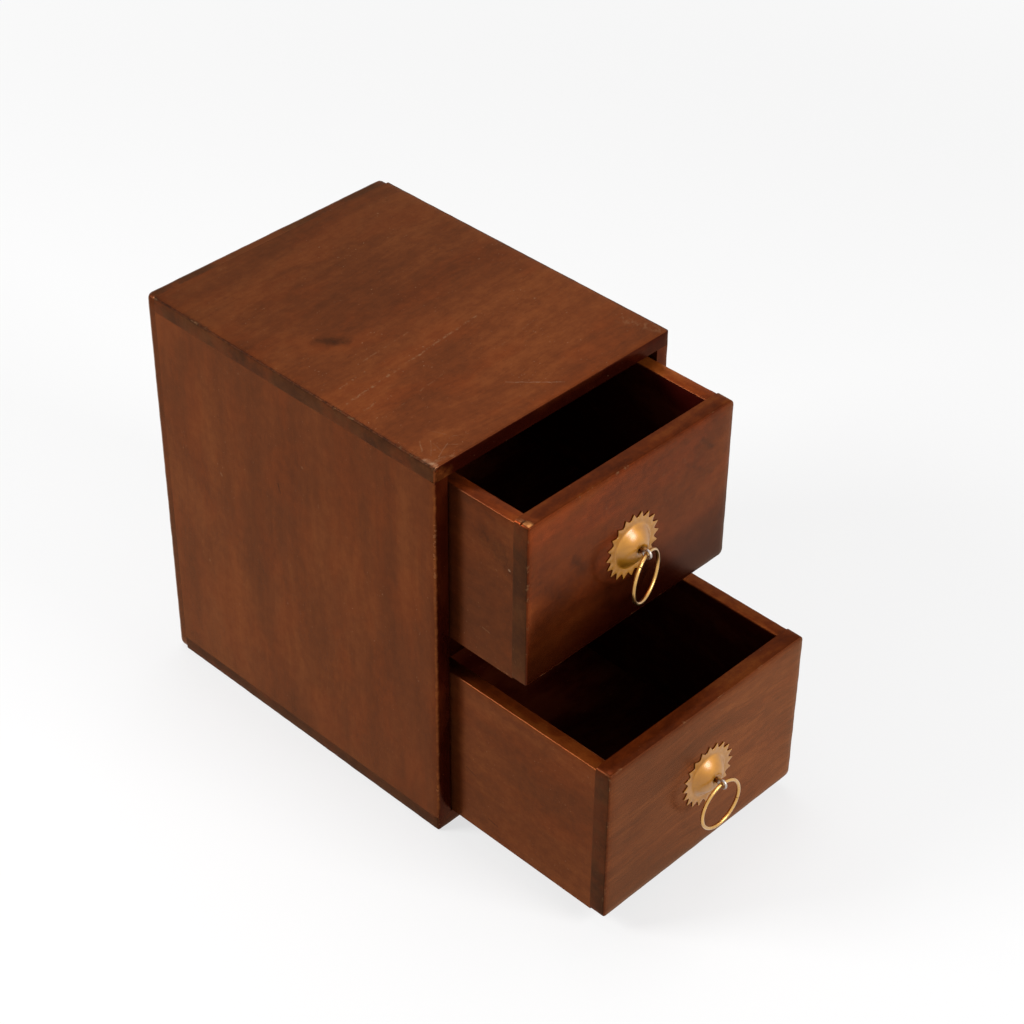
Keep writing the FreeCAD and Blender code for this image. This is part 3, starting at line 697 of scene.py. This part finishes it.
caseBoards = {
    "case_top": {
        "name": "topBoard",
        "grain": "x",
        "eased": [(["-x", "+x", "-y", "+z"], caseEdge)],
        "shift": (0, 0, 0),
        "looks": {
            "tone": 1.02,
            "mottle": 0.20,
            "fine": 0.08,
            "streak": 0.11,
            "pores": 0.45,
            "dust": 0.6,
            # Darker towards the back, lighter towards the front.
            "fades": [((0, -1, 0), -67.0, 67.0, 0.76, 1.24)],
            "marks": topMarks,
            # Dark arrises at the sides and back: grime and painted shade.
            "grimeAndShadeAmount": 1.0,
            "grimeAndShadeWidth": 1.9,
        },
        "nicks": topNicks,
        "frontMarks": [("orange", (-52.0, -67.9, 149.0), (-48.0, -67.9, 146.5), 4.0, 0.75, 0.5)],
        "pastMm": (0, -12, 0),  # the front edge stays clean
    },
    "case_bottom": {
        "name": "bottomBoard",
        "grain": "x",
        "eased": [(["-x", "+x", "-y", "-z"], caseEdge)],
        "shift": (310, 40, 0),
        # Dark arrises: grime and painted shade.
        "looks": {"grimeAndShadeAmount": 0.6},
    },
    "case_left_side": {
        "name": "leftBoard",
        "grain": "z",
        "eased": [(["-x", "-y"], caseEdge)],
        "shift": (50, 90, 20),
        "looks": {"mottle": 0.16, "marks": sideMarks},
        # A painted reflection: an orange line along the rounded arris.
        "frontMarks": [("orange", (-52.4, -67.9, 8.0), (-52.4, -67.9, 145.0), 0.9, 0.6, 0.6)],
        "nicks": sideNicks,
    },
    "case_right_side": {
        "name": "rightBoard",
        "grain": "z",
        "eased": [(["+x", "-y"], caseEdge)],
        "shift": (520, 10, 60),
        "looks": {"mottle": 0.18},
    },
    "case_back": {
        "name": "backBoard",
        "grain": "z",
        "eased": [(["-x", "+x", "+y", "-z", "+z"], boardDetail["backEdgeMm"])],
        "shift": (90, 330, 20),
        "looks": {"tone": 0.8},
    },
    "case_divider": {
        "name": "dividerBoard",
        "grain": "x",
        "eased": [(["-y", "+z"], 0.3)],
        "shift": (20, 700, 0),
        "looks": {"tone": 0.8},
    },
}
caseBox = boxAround(caseBoards)

endGrain = {
    "mid": (0.058, 0.0180, 0.0055, 1),
    "dark": (0.030, 0.0095, 0.0036, 1),
    "light": (0.092, 0.0310, 0.0100, 1),
    "blotch": 0.35,
    "mottle": 0.35,
    "pores": 0.5,
    "lustre": 0.25,
    "roughness": 0.5,
    "specularTint": (1.0, 0.62, 0.42, 1),
    "bump": 0.2,
}
# The front edges of the case boards: darker, redder wood, as painted shade where the drawers shade them.
frontEdgeShade = {
    "mid": (0.048, 0.0052, 0.0018, 1),
    "dark": (0.020, 0.0026, 0.0012, 1),
    "light": (0.100, 0.0160, 0.0040, 1),
    "blotch": 0.4,
    "mottle": 0.2,
}
rimWood = {
    "mid": (0.165, 0.0280, 0.0040, 1),
    "dark": (0.060, 0.0095, 0.0024, 1),
    "light": (0.300, 0.0750, 0.0120, 1),
    "blotch": 0.5,
    "streak": 0.3,
    "mottle": 0.3,
    "lustre": 0.4,
    "wearAmount": 0.3,
}
# The insides of the drawers: near-black wood, as painted shade in the hollow of each drawer.
insideShadeWood = {
    "mid": (0.036, 0.0022, 0.0010, 1),
    "dark": (0.018, 0.0010, 0.0006, 1),
    "light": (0.062, 0.0050, 0.0020, 1),
    "lustre": 0.1,
    "roughness": 0.6,
    "wearAmount": 0.0,
}


def dressCase():
    for node, spec in caseBoards.items():
        board = makeBoard(node, spec)
        name, grain, shift = spec["name"], spec["grain"], spec["shift"]
        edges = (caseBox[0] + Vector(spec.get("pastMm", (0, 0, 0))) * millimetre, caseBox[1])
        struck = nickMarks(spec.get("nicks", []), nickMark["caseStrength"])
        looks = {
            "Wood": dict(spec["looks"], marks=spec["looks"].get("marks", []) + struck),
            "EndGrain": dict(endGrain, marks=struck, grimeAndShadeAmount=spec["looks"].get("grimeAndShadeAmount", 0.0)),
            "FrontEdgeShade": dict(frontEdgeShade, marks=spec.get("frontMarks", []) + struck),
        }
        woods = [woodMaterial(name + label, grain, shift, edges, **looks[label]) for label in looks]
        paintFaces(board, woods, [(1, "-" + grain), (1, "+" + grain), (2, "-y")])
        finishPiece(board, node, "case", boardDetail["smoothDegrees"])
    print("case boards done")


dressCase()

# Drawers: five boards each, with a groove for the bottom panel and a hole for the pull's eye.

drawerEdge = boardDetail["drawerEdgeMm"]
drawerBoards = {
    "front": {
        "grain": "x",
        "eased": [(["-x", "-z", "+z"], 1.2), (["+x", "-z", "+z"], 2.2)],
        "rimMm": 0.8,
        "inside": "+y",
    },
    "left_side": {"grain": "y", "eased": [(["-x", "+x", "+z"], drawerEdge)], "inside": "+x"},
    "right_side": {"grain": "y", "eased": [(["-x", "+x", "+z"], drawerEdge)], "inside": "-x"},
    "back": {"grain": "x", "eased": [(["-y", "+y", "+z"], drawerEdge)], "inside": "-y"},
    "bottom": {"grain": "x", "eased": [], "inside": "+z"},
}
upperFrontLooks = {
    "mid": (0.130, 0.0250, 0.0042, 1),
    "dark": (0.045, 0.0080, 0.0020, 1),
    "light": (0.220, 0.0490, 0.0090, 1),
    "warm": (0.190, 0.0300, 0.0046, 1),
    "drift": 0.6,
    "lustre": 0.72,
    "blotch": 0.35,
    "mottle": 0.22,
    "specularTint": (1.0, 0.92, 0.80, 1),
    # Dark edges round the front: painted shade of the rounded arrises, with grime.
    "grimeAndShadeWidth": 1.6,
    "grimeAndShadeAmount": 0.7,
    "grimeAndShade": (0.036, 0.0060, 0.0024, 1),
    # Painted sheen: lighter towards the left.
    "fades": [((1, 0, 0), -46.0, 46.0, 1.35, 0.97)],
}
lowerFrontLooks = {
    "tone": 1.15,
    "fine": 0.22,
    "mottle": 0.12,
    "drift": 0.2,
    "lustre": 0.62,
    "specularTint": (1.0, 0.84, 0.66, 1),
    # Dark edges round the front: painted shade of the rounded arrises, with grime.
    "grimeAndShadeWidth": 1.4,
    "grimeAndShadeAmount": 0.6,
    "grimeAndShade": (0.040, 0.0090, 0.0036, 1),
    # Painted sheen: lighter towards the right.
    "fades": [((1, 0, 0), -46.0, 46.0, 0.98, 1.25)],
}
drawerTones = {
    "upper": {
        "shift": (130, 210, 40),
        "front": upperFrontLooks,
        "rest": {"tone": 0.85, "wearAmount": 0.3},
        "end": 1.0,
        "rim": 1.0,
    },
    "lower": {
        "shift": (430, 520, 80),
        "front": lowerFrontLooks,
        "rest": {"wearAmount": 0.4},
        "end": 0.88,
        "rim": 0.66,
    },
}
upperFrontMarks = marksOn("upper_drawer_front", "-y", [
    ("red", (-33.0, 131.0), (-27.0, 126.0), 7.0, 0.6, 0.3),
    ("dark", (-26.0, 121.0), (-22.6, 115.1), 3.5, 0.55, 0.3),
    ("dark", (-42.0, 121.0), (-30.0, 108.0), 5.0, 0.35, 0.5),
    ("dark", (31.5, 136.0), (36.5, 131.4), 1.6, 0.5, 0.4),
    ("dark", (25.3, 130.0), (37.0, 121.5), 2.2, 0.35, 0.6),
    ("shade", (-46.0, 80.0), (10.0, 80.0), 32.0, 0.80, 0.0),
    ("shade", (0.0, 80.0), (46.0, 86.0), 38.0, 0.80, 0.0),
])
rimMarks = [
    ("bare", (-45.8, -98.6, 144.2), (-45.8, -100.8, 144.2), 2.6, 1.0, 0.45),
    # Painted shade: a near-black line in the struck hollow at the corner.
    ("gap", (-46.8, -97.7, 144.3), (-44.6, -97.7, 144.3), 0.8, 1.0, 0.0),
    ("light", (-46.2, -95.4, 144.3), (-45.0, -96.8, 144.3), 1.2, 0.5, 0.7),
    ("red", (-43.0, -97.0, 144.5), (-42.0, -100.5, 144.4), 2.4, 0.7, 0.4),
]
upperSideMarks = marksOn("upper_drawer_left_side", "-x", [
    ("dark", (-83.5, 132.2), (-94.0, 125.0), 7.0, 0.55, 0.4),
    ("pale", (-93.2, 124.3), (-93.4, 124.1), 0.6, 0.7, 0.0),
    ("pale", (-95.3, 89.3), (-95.5, 89.1), 0.5, 0.7, 0.0),
    ("light", (-82.0, 95.0), (-89.0, 93.8), 0.45, 0.35, 1.0),
])
lowerSideMarks = marksOn("lower_drawer_left_side", "-x", [
    ("dark", (-75.1, 30.2), (-79.2, 29.0), 0.5, 0.6, 0.2),
    ("dark", (-84.8, 13.6), (-89.4, 12.8), 0.5, 0.6, 0.2),
])
boardMarks = {
    ("upper", "front"): upperFrontMarks,
    ("upper", "left_side"): upperSideMarks,
    ("lower", "left_side"): lowerSideMarks,
}
boardNicks = {
    ("upper", "front"): [
        ((-46.9, -97.7, 144.7), (1.5, 0.5, 1.2)),
        ((-46.7, -100.2, 144.8), (2.2, 2.2, 0.5)),
        ((-12.0, -101.4, 144.6), (1.2, 0.5, 0.4)),
        ((30.0, -101.4, 144.6), (0.9, 0.4, 0.4)),
    ],
    ("upper", "left_side"): [((-46.6, -78.0, 143.5), (0.5, 1.2, 0.4))],
    ("lower", "front"): [
        ((-46.9, -133.0, 68.6), (1.0, 0.45, 0.8)),
        ((-47.0, -137.2, 68.6), (0.9, 0.9, 0.6)),
        ((-20.0, -137.3, 68.5), (1.0, 0.45, 0.4)),
    ],
    ("lower", "left_side"): [((-46.6, -112.0, 67.4), (0.5, 1.3, 0.4))],
}
grooveGapMm = 0.1
eyeHoleRod = {"radiusMm": 1.425, "lengthMm": 30, "sides": 32}
shiftBetweenBoards = (170, 90, 60)
# The fronts' end grain is darkened at its edges: grime and painted shade.
drawerEnds = {"grimeAndShadeWidth": 1.2, "frontGrimeAndShade": 0.9}
frontRimTone = 0.56
cornerNicks = 2  # a front's first nicks, at its corner, show no paler wood


def eyeHole(which):
    # A rod through the front where the legs of the eye pass.
    low, high = boxOf(which + "_pull_plate")
    middle = (low + high) / 2
    clearSelection()
    bpy.ops.mesh.primitive_cylinder_add(
        vertices=eyeHoleRod["sides"],
        radius=eyeHoleRod["radiusMm"] * millimetre,
        depth=eyeHoleRod["lengthMm"] * millimetre,
        location=(middle.x, high.y, middle.z),
        rotation=(quarterTurn, 0, 0),
    )
    settle(bpy.context.object)
    return bpy.context.object


def drawerWoods(which, part, name, outer, shift):
    # The woods of a board's outer faces, end grain, inside and upper rim.
    tones = drawerTones[which]
    isFront = part == "front"
    marks = boardMarks.get((which, part), [])
    nicks = boardNicks.get((which, part), [])
    struck = nickMarks(nicks[cornerNicks:] if isFront else nicks, nickMark["drawerStrength"])
    worn = rimMarks if which == "upper" and isFront else marks
    grimeAndShade = drawerEnds["frontGrimeAndShade"] if isFront else 0.0
    looks = {
        "Wood": dict(tones["front" if isFront else "rest"], marks=marks + struck),
        "EndGrain": dict(endGrain, tone=tones["end"], grimeAndShadeWidth=drawerEnds["grimeAndShadeWidth"], grimeAndShadeAmount=grimeAndShade),
        "Inside": insideShadeWood,
        "Rim": dict(rimWood, tone=frontRimTone if isFront else tones["rim"], marks=worn + struck),
    }
    grain = drawerBoards[part]["grain"]
    return [woodMaterial(name + label, grain, shift, outer, **looks[label]) for label in looks]


def dressDrawer(which):
    nodes = {part: f"{which}_drawer_{part}" for part in drawerBoards}
    outer = boxAround(nodes.values())
    low, high = boxOf(nodes["bottom"])
    grow = Vector((grooveGapMm, grooveGapMm, grooveGapMm)) * millimetre
    groove = addCube(which + "Groove", low - grow, high + grow)
    for order, (part, node) in enumerate(nodes.items()):
        name = which + "Drawer" + part.title().replace("_", "")
        spec = dict(drawerBoards[part], name=name, nicks=boardNicks.get((which, part), []))
        board = makeBoard(node, spec)
        if part in ("front", "left_side", "right_side"):
            cutAway(board, groove)
        if part == "front":
            hole = eyeHole(which)
            cutAway(board, hole)
            bpy.data.objects.remove(hole, do_unlink=True)
        shift = Vector(drawerTones[which]["shift"]) + Vector(shiftBetweenBoards) * order
        grain = spec["grain"]
        zones = [(1, "-" + grain), (1, "+" + grain), (3, "+z"), (2, spec["inside"])]
        paintFaces(board, drawerWoods(which, part, name, outer, shift), zones)
        finishPiece(board, node, which + "_drawer", boardDetail["smoothDegrees"])
    bpy.data.objects.remove(groove, do_unlink=True)
    print(which, "drawer boards done")


for which in ("upper", "lower"):
    dressDrawer(which)


# Metal: handled brass and steel. Lengths are in millimetres.

def buildTarnishGroup():
    # Cloudy tarnish, fine hair scratches and small dents.
    inputs = {
        "Clean": (0.7, 0.4, 0.15, 1),
        "Dull": (0.4, 0.2, 0.07, 1),
        "Clouds": 0.5,
        "Polish": 0.2,
        "Spread": 0.1,
    }
    group, entry, leave = newGroup("handledMetal", inputs, ("Color", "Height", "Rough"))
    point = entry["Vector"]
    clouds = noise(group, point, 0.16, 4.0, 0.6, 0.5)
    specks = remap(group, noise(group, point, 2.6, 2.0, 0.6), 0.64, 0.74)
    lengthwise = noise(group, vectorMaths(group, "MULTIPLY", point, (0.4, 9.0, 9.0)), 1.0, 1.0)
    upright = noise(group, vectorMaths(group, "MULTIPLY", point, (9.0, 9.0, 0.5)), 1.0, 1.0)
    dents = noise(group, point, 0.55, 2.0, 0.5)
    dullness = maths(group, "MULTIPLY", remap(group, clouds, 0.38, 0.68), entry["Clouds"])
    dullness = maths(group, "MULTIPLY_ADD", specks, 0.35, dullness, clamp=True)
    cloudiness = maths(group, "SUBTRACT", clouds, 0.5)
    rough = maths(group, "MULTIPLY_ADD", cloudiness, entry["Spread"], entry["Polish"])
    height = maths(group, "MULTIPLY", maths(group, "ADD", lengthwise, upright), 0.06)
    feed(leave, {
        "Color": mixColour(group, dullness, entry["Clean"], entry["Dull"]),
        "Height": maths(group, "ADD", height, dents),
        "Rough": maths(group, "MULTIPLY_ADD", specks, 0.15, rough, clamp=True),
    })
    return group


tarnishGroup = buildTarnishGroup()
coat = {"rough": 0.28, "index": 1.6}
dentMm = 0.15
metals = {
    "pressedBrass": {
        "clean": (0.47, 0.205, 0.010, 1),
        "dull": (0.32, 0.118, 0.004, 1),
        "clouds": 0.45,
        "polish": 0.62,
        "spread": 0.16,
        "bump": 0.25,
        "lacquer": 0.9,
    },
    "ringBrass": {
        "clean": (0.66, 0.36, 0.085, 1),
        "dull": (0.40, 0.20, 0.035, 1),
        "clouds": 0.6,
        "polish": 0.28,
        "spread": 0.12,
        "bump": 0.12,
        "lacquer": 0.7,
    },
    "drawnSteel": {
        "clean": (0.56, 0.49, 0.43, 1),
        "dull": (0.34, 0.27, 0.22, 1),
        "clouds": 0.5,
        "polish": 0.36,
        "spread": 0.12,
        "bump": 0.15,
        # Brown near the dome: painted shade where the eye meets the dome.
        "domeShade": (0.20, 0.085, 0.022, 1),
        "domeShadeToMm": 0.2,
        "unshadedFromMm": 1.4,
    },
    "nailSteel": {
        "clean": (0.30, 0.28, 0.26, 1),
        "dull": (0.14, 0.10, 0.07, 1),
        "clouds": 0.8,
        "polish": 0.45,
        "spread": 0.2,
        "bump": 0.2,
    },
}


def metalMaterial(name, kind, shift=(0, 0, 0), domeMm=None):
    # Metal that stands on a dome is painted browner near it, as painted shade where it meets the dome.
    # Distances run forwards from the case's middle.
    values = metals[kind]
    material, tree, shader = newMaterial(name)
    place = placeInPiece(tree, shift)
    inputs = {label: values[label.lower()] for label in ("Clean", "Dull", "Clouds", "Polish", "Spread")}
    metal = addGroup(tree, tarnishGroup, dict(inputs, Vector=place))
    colour = metal["Color"]
    if domeMm:
        backwards = addNode(tree, "ShaderNodeSeparateXYZ", {0: place}).outputs["Y"]
        forwards = maths(tree, "MULTIPLY", backwards, -1.0)
        clear = remap(tree, forwards, domeMm + values["domeShadeToMm"], domeMm + values["unshadedFromMm"])
        colour = mixColour(tree, clear, values["domeShade"], colour)
    feed(shader, {
        "Base Color": colour,
        "Roughness": metal["Rough"],
        "Normal": addBump(tree, metal["Height"], values["bump"], dentMm),
        "Metallic": 1.0,
        "Coat Weight": values.get("lacquer", 0.0),
        "Coat Roughness": coat["rough"],
        "Coat IOR": coat["index"],
    })
    return material


# Pulls: a pressed rosette, a drawn eye and a bent wire ring.

rosette = {
    "teeth": 20,
    "stepsPerTooth": 8,
    "sheetMm": 0.25,
    # Radius and height of each ring of the pressing, from the hole for the eye outwards.
    "ringsMm": [
        (1.12, 3.05), (1.25, 3.42), (1.55, 3.72), (2.1, 3.86), (3.0, 3.72), (3.9, 3.40), (4.8, 2.92),
        (5.6, 2.36), (6.35, 1.74), (6.9, 1.17), (7.3, 0.78), (7.6, 0.54), (7.85, 0.39), (8.1, 0.32),
        (8.5, 0.32), (9.0, 0.37), (9.75, 0.38),
    ],
    # How far out the rim lies at each step, from a valley to a tip.
    "outlineMm": {0: 10.1, 1: 10.3, 2: 10.75, 3: 11.4, 4: 12.05},
    "valleyHeightMm": 0.32,
    "ridgeMm": 0.06,
    "ridgeFromStep": 3,
    "edgeMm": 0.05,
    "edgeSteps": 1,
    "sharpDegrees": 50,
    # The rings at these radii are narrowed by a ratio, beside the legs of the eye.
    "slot": {1.12: 0.59, 1.25: 0.72},
}
nearMm = 0.05  # how close a vertex lies to its ring
wireRing = {
    "radiusMm": 9.0,
    "wireMm": 1.25,
    "gapMm": 0.12,
    "steps": 144,
    "sides": 24,
    "bluntMm": 0.12,
    "bluntSteps": 2,
    "sharpDegrees": 60,
}
pullSmoothDegrees = 40
ringPlaces = {
    "upper": {"seamDegrees": 125.0, "turnDegrees": 17.0},
    "lower": {"seamDegrees": 341.0, "turnDegrees": 0.0},
}


def chooseVertices(piece, wanted):
    # Selects vertices by their place, from edit mode and back to it.
    bpy.ops.mesh.select_mode(type="VERT")
    selectAll("DESELECT")
    setMode("OBJECT")
    for vertex in piece.data.vertices:
        vertex.select = wanted(vertex.co / millimetre)
    setMode("EDIT")


def stretch(x, y):
    bpy.ops.transform.resize(value=(x, y, 1), center_override=(0, 0, 0))


def pressRosette(name):
    perTooth = rosette["stepsPerTooth"]
    count = rosette["teeth"] * perTooth
    rings = rosette["ringsMm"]
    innermost, outermost = rings[0], rings[-1][0]
    clearSelection()
    bpy.ops.mesh.primitive_circle_add(
        vertices=count, radius=innermost[0] * millimetre, location=(0, 0, innermost[1] * millimetre)
    )
    plate = bpy.context.object
    plate.name = name
    settle(plate)
    setMode("EDIT")
    selectAll()
    valley = rosette["outlineMm"][0]
    nextRings = rings[1:] + [(valley, rosette["valleyHeightMm"])]
    for (radius, height), (nextRadius, nextHeight) in zip(rings, nextRings):
        rise = (nextHeight - height) * millimetre
        bpy.ops.mesh.extrude_edges_move(TRANSFORM_OT_translate={"value": (0, 0, rise)})
        stretch(nextRadius / radius, nextRadius / radius)

    for radius, ratio in rosette["slot"].items():
        chooseVertices(plate, lambda place: abs(place.xy.length - radius) < nearMm)
        stretch(1, ratio)

    def stepOf(place):
        # From 0 in a valley to half a tooth's steps at a tip; one tip points straight up.
        step = round(math.atan2(place.y, place.x) / (2 * math.pi) * count) % perTooth
        return perTooth // 2 - min(step, perTooth - step)

    for step, radius in rosette["outlineMm"].items():
        if step:
            chooseVertices(plate, lambda place: stepOf(place) == step and place.xy.length > valley - nearMm)
            stretch(radius / valley, radius / valley)
            lift = rosette["ridgeMm"] * step / (perTooth // 2) * millimetre
            bpy.ops.transform.translate(value=(0, 0, lift))

    def onRidge(place):
        return stepOf(place) >= rosette["ridgeFromStep"] and abs(place.xy.length - outermost) < nearMm

    chooseVertices(plate, onRidge)
    bpy.ops.transform.translate(value=(0, 0, rosette["ridgeMm"] * millimetre))
    selectAll()
    bpy.ops.mesh.normals_make_consistent(inside=False)
    setMode("OBJECT")
    middle = max(plate.data.polygons, key=lambda face: face.center.z)
    if middle.normal.z < 0:
        setMode("EDIT")
        selectAll()
        bpy.ops.mesh.flip_normals()
        setMode("OBJECT")
    sheet = plate.modifiers.new("sheet", "SOLIDIFY")
    sheet.thickness = rosette["sheetMm"] * millimetre
    sheet.offset = -1.0
    sheet.use_even_offset = True
    addBevel(plate, "edge", rosette["edgeMm"], rosette["edgeSteps"], rosette["sharpDegrees"])
    applyModifiers(plate)
    return plate


def bendRing(name, seamDegrees):
    clearSelection()
    bpy.ops.mesh.primitive_circle_add(
        vertices=wireRing["sides"],
        radius=wireRing["wireMm"] / 2 * millimetre,
        fill_type="NGON",
        rotation=(quarterTurn, 0, 0),
    )
    ring = bpy.context.object
    ring.name = name
    ring.location.x = wireRing["radiusMm"] * millimetre
    settle(ring)
    gapTurn = wireRing["gapMm"] / wireRing["radiusMm"]
    turn = 2 * math.pi - gapTurn
    setMode("EDIT")
    selectAll()
    bpy.ops.mesh.spin(
        steps=wireRing["steps"], angle=turn, center=(0, 0, 0), axis=(0, 0, 1), use_auto_merge=False
    )
    selectAll()
    bpy.ops.mesh.remove_doubles(threshold=samePlace)
    selectAll("DESELECT")
    bpy.ops.mesh.select_mode(type="EDGE")
    bpy.ops.mesh.select_non_manifold()
    bpy.ops.mesh.edge_face_add()
    selectAll()
    bpy.ops.mesh.normals_make_consistent(inside=False)
    setMode("OBJECT")
    addBevel(ring, "blunt", wireRing["bluntMm"], wireRing["bluntSteps"], wireRing["sharpDegrees"])
    applyModifiers(ring)
    ring.rotation_euler = (0, 0, math.radians(seamDegrees) + gapTurn / 2)
    settle(ring)
    return ring


def giveMetal(node, material):
    # A node that is kept as it came, in a better metal.
    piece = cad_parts[node]
    piece.data.materials.clear()
    piece.data.materials.append(material)


def dressPull(which):
    low, high = boxOf(which + "_pull_plate")
    plate = pressRosette(which + "Rosette")
    plate.rotation_euler = (quarterTurn, 0, 0)
    plate.location = ((low.x + high.x) / 2, high.y, (low.z + high.z) / 2)
    settle(plate)
    plate.data.materials.append(pressedBrass)
    finishPiece(plate, which + "_pull_plate", which + "_drawer", pullSmoothDegrees)

    place = ringPlaces[which]
    ringLow, ringHigh = boxOf(which + "_pull_ring")
    ring = bendRing(which + "Ring", place["seamDegrees"])
    ring.rotation_euler = (quarterTurn, 0, math.radians(place["turnDegrees"]))
    ring.location = (ringLow + ringHigh) / 2
    settle(ring)
    ring.data.materials.append(ringBrass)
    finishPiece(ring, which + "_pull_ring", which + "_ring", pullSmoothDegrees)

    eyeSteel = metalMaterial(which + "EyeSteel", "drawnSteel", domeMm=-low.y / millimetre)
    giveMetal(which + "_pull_eye", eyeSteel)
    print(which, "pull done")


pressedBrass = metalMaterial("pressedBrass", "pressedBrass")
ringBrass = metalMaterial("ringBrass", "ringBrass", (40, 10, 5))
nailSteel = metalMaterial("nailSteel", "nailSteel")
for which in ("upper", "lower"):
    dressPull(which)
for node in ("case_pins", "upper_drawer_pins", "lower_drawer_pins"):
    giveMetal(node, nailSteel)

# The room, its lights and the camera.

view = {
    "placeMm": (-450.805, -484.268, 586.620),
    "turnDegrees": (51.9489, -0.5183, -45.6255),
    "lensMm": 85.5648,
    "sensorMm": 36.0,
}
lamps = {
    "front": {"azimuth": -78.0, "elevation": 30.0, "distance": 1.1, "size": 0.40, "watts": 7.0},
    "side": {"azimuth": 143.0, "elevation": 33.0, "distance": 1.1, "size": 0.40, "watts": 8.5},
    "top": {"azimuth": 60.0, "elevation": 75.0, "distance": 1.1, "size": 0.60, "watts": 4.5},
}
lampAim = (0.0, -0.03, 0.07)
room = {
    "floorSize": 4.0,
    "floorLevel": -0.0002,
    "floorColour": (0.9, 0.9, 0.9, 1),
    "floorRoughness": 0.9,
    "floorGlow": 0.7,
    "fadeFrom": 0.35,
    "fadeTo": 0.9,
    "worldColour": (1, 1, 1, 1),
    "worldStrength": 0.14,
}


def seenByEye(tree):
    # 1 for camera, glossy and transmission rays, which see a white room; 0 for the rays that light things.
    path = addNode(tree, "ShaderNodeLightPath").outputs
    seen = maths(tree, "MAXIMUM", path["Is Camera Ray"], path["Is Glossy Ray"])
    return maths(tree, "MAXIMUM", seen, path["Is Transmission Ray"])


def makeFloor():
    clearSelection()
    bpy.ops.mesh.primitive_plane_add(size=room["floorSize"], location=(0, 0, room["floorLevel"]))
    floor = bpy.context.object
    floor.name = "studioFloor"
    settle(floor)
    material, tree, shader = newMaterial("floorPaper")
    feed(shader, {
        "Base Color": room["floorColour"],
        "Roughness": room["floorRoughness"],
        "Specular IOR Level": 0.0,
    })
    away = vectorMaths(tree, "LENGTH", addNode(tree, "ShaderNodeTexCoord").outputs["Object"])
    glowing = remap(tree, away, room["fadeFrom"], room["fadeTo"], room["floorGlow"], 1.0)
    share = maths(tree, "MULTIPLY", seenByEye(tree), glowing)
    glow = addNode(tree, "ShaderNodeEmission").outputs[0]
    paper = addNode(tree, "ShaderNodeMixShader", {0: share, 1: shader.outputs[0], 2: glow}).outputs[0]
    fromBelow = addNode(tree, "ShaderNodeNewGeometry").outputs["Backfacing"]
    clear = addNode(tree, "ShaderNodeBsdfTransparent").outputs[0]
    sided = addNode(tree, "ShaderNodeMixShader", {0: fromBelow, 1: paper, 2: clear}).outputs[0]
    feed(tree.nodes["Material Output"], {"Surface": sided})
    floor.data.materials.append(material)


def makeWorld():
    world = bpy.data.worlds.new("studioWorld")
    bpy.context.scene.world = world
    world.use_nodes = True
    tree = world.node_tree
    strength = remap(tree, seenByEye(tree), 0.0, 1.0, room["worldStrength"], 1.0)
    feed(tree.nodes["Background"], {"Strength": strength, "Color": room["worldColour"]})


def makeLamps():
    for name, lamp in lamps.items():
        data = bpy.data.lights.new(name + "Lamp", "AREA")
        data.shape = "SQUARE"
        data.size = lamp["size"]
        data.energy = lamp["watts"]
        thing = bpy.data.objects.new(name + "Lamp", data)
        bpy.context.collection.objects.link(thing)
        azimuth, elevation = math.radians(lamp["azimuth"]), math.radians(lamp["elevation"])
        level = math.cos(elevation)
        outwards = Vector((math.cos(azimuth) * level, math.sin(azimuth) * level, math.sin(elevation)))
        thing.location = Vector(lampAim) + outwards * lamp["distance"]
        thing.rotation_euler = outwards.to_track_quat("Z", "Y").to_euler()


def makeCamera():
    data = bpy.data.cameras.new("sceneCamera")
    data.lens = view["lensMm"]
    data.sensor_width = view["sensorMm"]
    data.sensor_fit = "HORIZONTAL"
    camera = bpy.data.objects.new("sceneCamera", data)
    bpy.context.collection.objects.link(camera)
    camera.location = Vector(view["placeMm"]) * millimetre
    camera.rotation_euler = [math.radians(angle) for angle in view["turnDegrees"]]
    bpy.context.scene.camera = camera


makeFloor()
makeWorld()
makeLamps()
makeCamera()
bpy.context.scene.view_settings.view_transform = "Standard"
print("room, lights and camera done")
